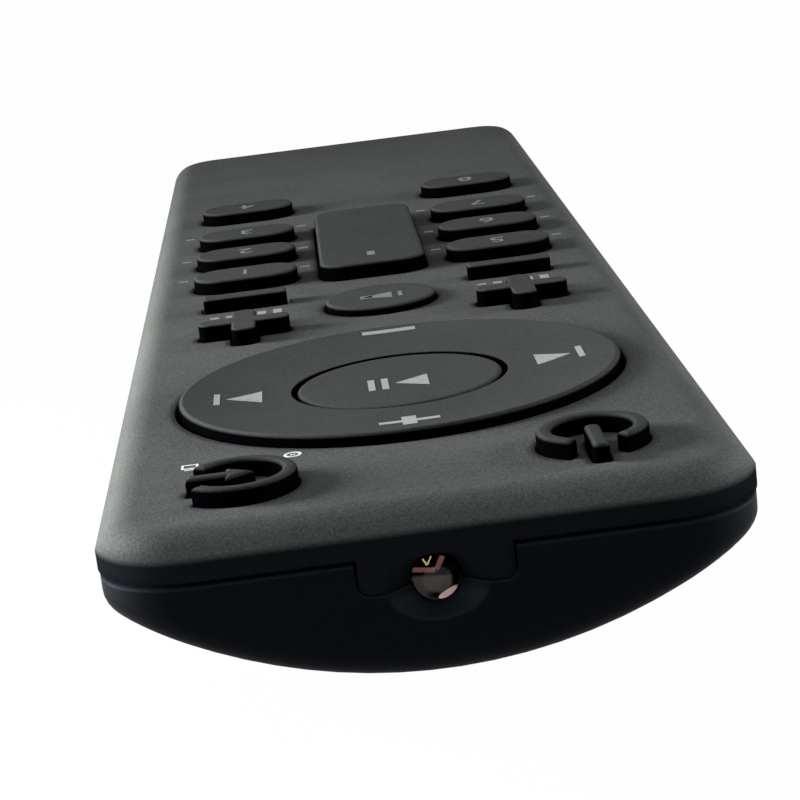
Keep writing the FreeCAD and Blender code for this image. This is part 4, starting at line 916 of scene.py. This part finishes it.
# %% Ticks, screen and disc
TICK_ALONG_MM = (80.4, 90.0, 102.2)
TICK_X_MM = (6.1, 17.4)
ticks = [mark_bar(sign * x_mm, along_mm, 0.9, 0.6)
         for sign in (-1, 1) for x_mm in TICK_X_MM for along_mm in TICK_ALONG_MM]
print_mark("row_ticks", ticks, "top_shell", faint_ink, "case")
print_mark("tall_key_mark", [mark_bar(0, 75.8, 0.7, 1.8)], "tall_key", faint_ink, "tall_key")
screen = [mark_bar(-15.0, 15.1, 1.15, 0.18), mark_bar(-15.0, 15.95, 1.15, 0.18),
          mark_bar(-15.49, 15.525, 0.17, 0.67), mark_bar(-14.51, 15.525, 0.17, 0.67),
          mark_bar(-15.0, 14.75, 0.7, 0.18)]
print_mark("screen_mark", screen, "top_shell", white_ink, "case")
disc = [mark_ring(-8.1, 15.3, 0.62, 0.2), mark_ring(-8.1, 15.3, 0.18, 0.08)]
print_mark("disc_mark", disc, "top_shell", white_ink, "case")
print("ticks:", len(ticks))

# %% [markdown]
# ## The stage
# The picture has a white ground with no horizon and hardly a shadow. The floor is a plain pale
# plane that is nearly white in itself for the camera, for mirrors and for clear pieces. What is
# left of the paper in it keeps a trace of the remote's shadow, and the light that it throws up at
# the dark belly stays that of paper.

# %% Floor
FLOOR_SIZE = 6.0
WHITE_SHARE = 0.98


def seen_directly(tree):
    """1 for what the camera sees, also by way of a mirror or a clear piece, and otherwise 0."""
    rays = add_node(tree, "ShaderNodeLightPath").outputs
    seen = add_node(tree, "ShaderNodeMath", {0: rays["Is Camera Ray"], 1: rays["Is Glossy Ray"]},
                    operation="MAXIMUM")
    return add_node(tree, "ShaderNodeMath", {0: seen, 1: rays["Is Transmission Ray"]},
                    operation="MAXIMUM")


bpy.ops.object.select_all(action="DESELECT")
bpy.ops.mesh.primitive_plane_add(size=FLOOR_SIZE, location=(0, 0, 0))
floor = bpy.context.object
floor.name = "studio_floor"
floor_paper, tree = new_material("pale_paper_floor")
paper = add_node(tree, "ShaderNodeBsdfDiffuse", {"Color": linear("#e9e9e9")})
glow = add_node(tree, "ShaderNodeEmission", {"Color": linear("#ffffff"), "Strength": 1.0})
whiten = add_node(tree, "ShaderNodeMath", {0: seen_directly(tree), 1: WHITE_SHARE},
                  operation="MULTIPLY")
mixed = add_node(tree, "ShaderNodeMixShader", {"Fac": whiten, 1: paper, 2: glow})
add_node(tree, "ShaderNodeOutputMaterial", {"Surface": mixed})
floor.data.materials.append(floor_paper)
print("floor", floor.dimensions.x, "m wide")

# %% [markdown]
# ## The light
# Two soft lamps stand low at the remote's sides, the left one nearer and stronger, so both soft
# edges of the case catch more light than its flat top, as in the picture. A weak third one hangs
# in front, high enough that the upright faces turned to the camera stay dark. The world is white
# where it is seen and dimmer where it lights, which fills the shadows of the keys. Together they
# are only as strong as it takes for a colour to render about as it is written.

# %% World
FILL_LIGHT = 0.24

world = bpy.data.worlds.new("studio_world")
bpy.context.scene.world = world
world.use_nodes = True
tree = world.node_tree
tree.nodes.clear()
dim = add_node(tree, "ShaderNodeBackground", {
    "Color": linear("#ffffff"), "Strength": FILL_LIGHT})
white = add_node(tree, "ShaderNodeBackground", {"Color": linear("#ffffff"), "Strength": 1.0})
mixed = add_node(tree, "ShaderNodeMixShader", {"Fac": seen_directly(tree), 1: dim, 2: white})
add_node(tree, "ShaderNodeOutputWorld", {"Surface": mixed})
bpy.context.scene.view_settings.view_transform = "Standard"
print("world:", world.name)


# %% Lamps
def soft_lamp(name, place, target, size, power):
    """A square lamp at a place, turned to its target. Metres and watts."""
    data = bpy.data.lights.new(name, "AREA")
    data.size = size
    data.energy = power
    lamp = bpy.data.objects.new(name, data)
    bpy.context.scene.collection.objects.link(lamp)
    lamp.location = place
    lamp.rotation_euler = (Vector(target) - Vector(place)).to_track_quat("-Z", "Y").to_euler()


soft_lamp("left_softbox", place=(-0.24, -0.01, 0.05), target=(-0.06, -0.26, 0.02),
          size=0.14, power=3.4)
soft_lamp("right_softbox", place=(0.34, -0.02, 0.06), target=(0.07, -0.35, 0.02),
          size=0.16, power=2.0)
soft_lamp("front_softbox", place=(0.0, -0.38, 0.36), target=(0, -0.12, 0),
          size=0.3, power=0.16)
print("lamps:", [light.name for light in bpy.data.lights])
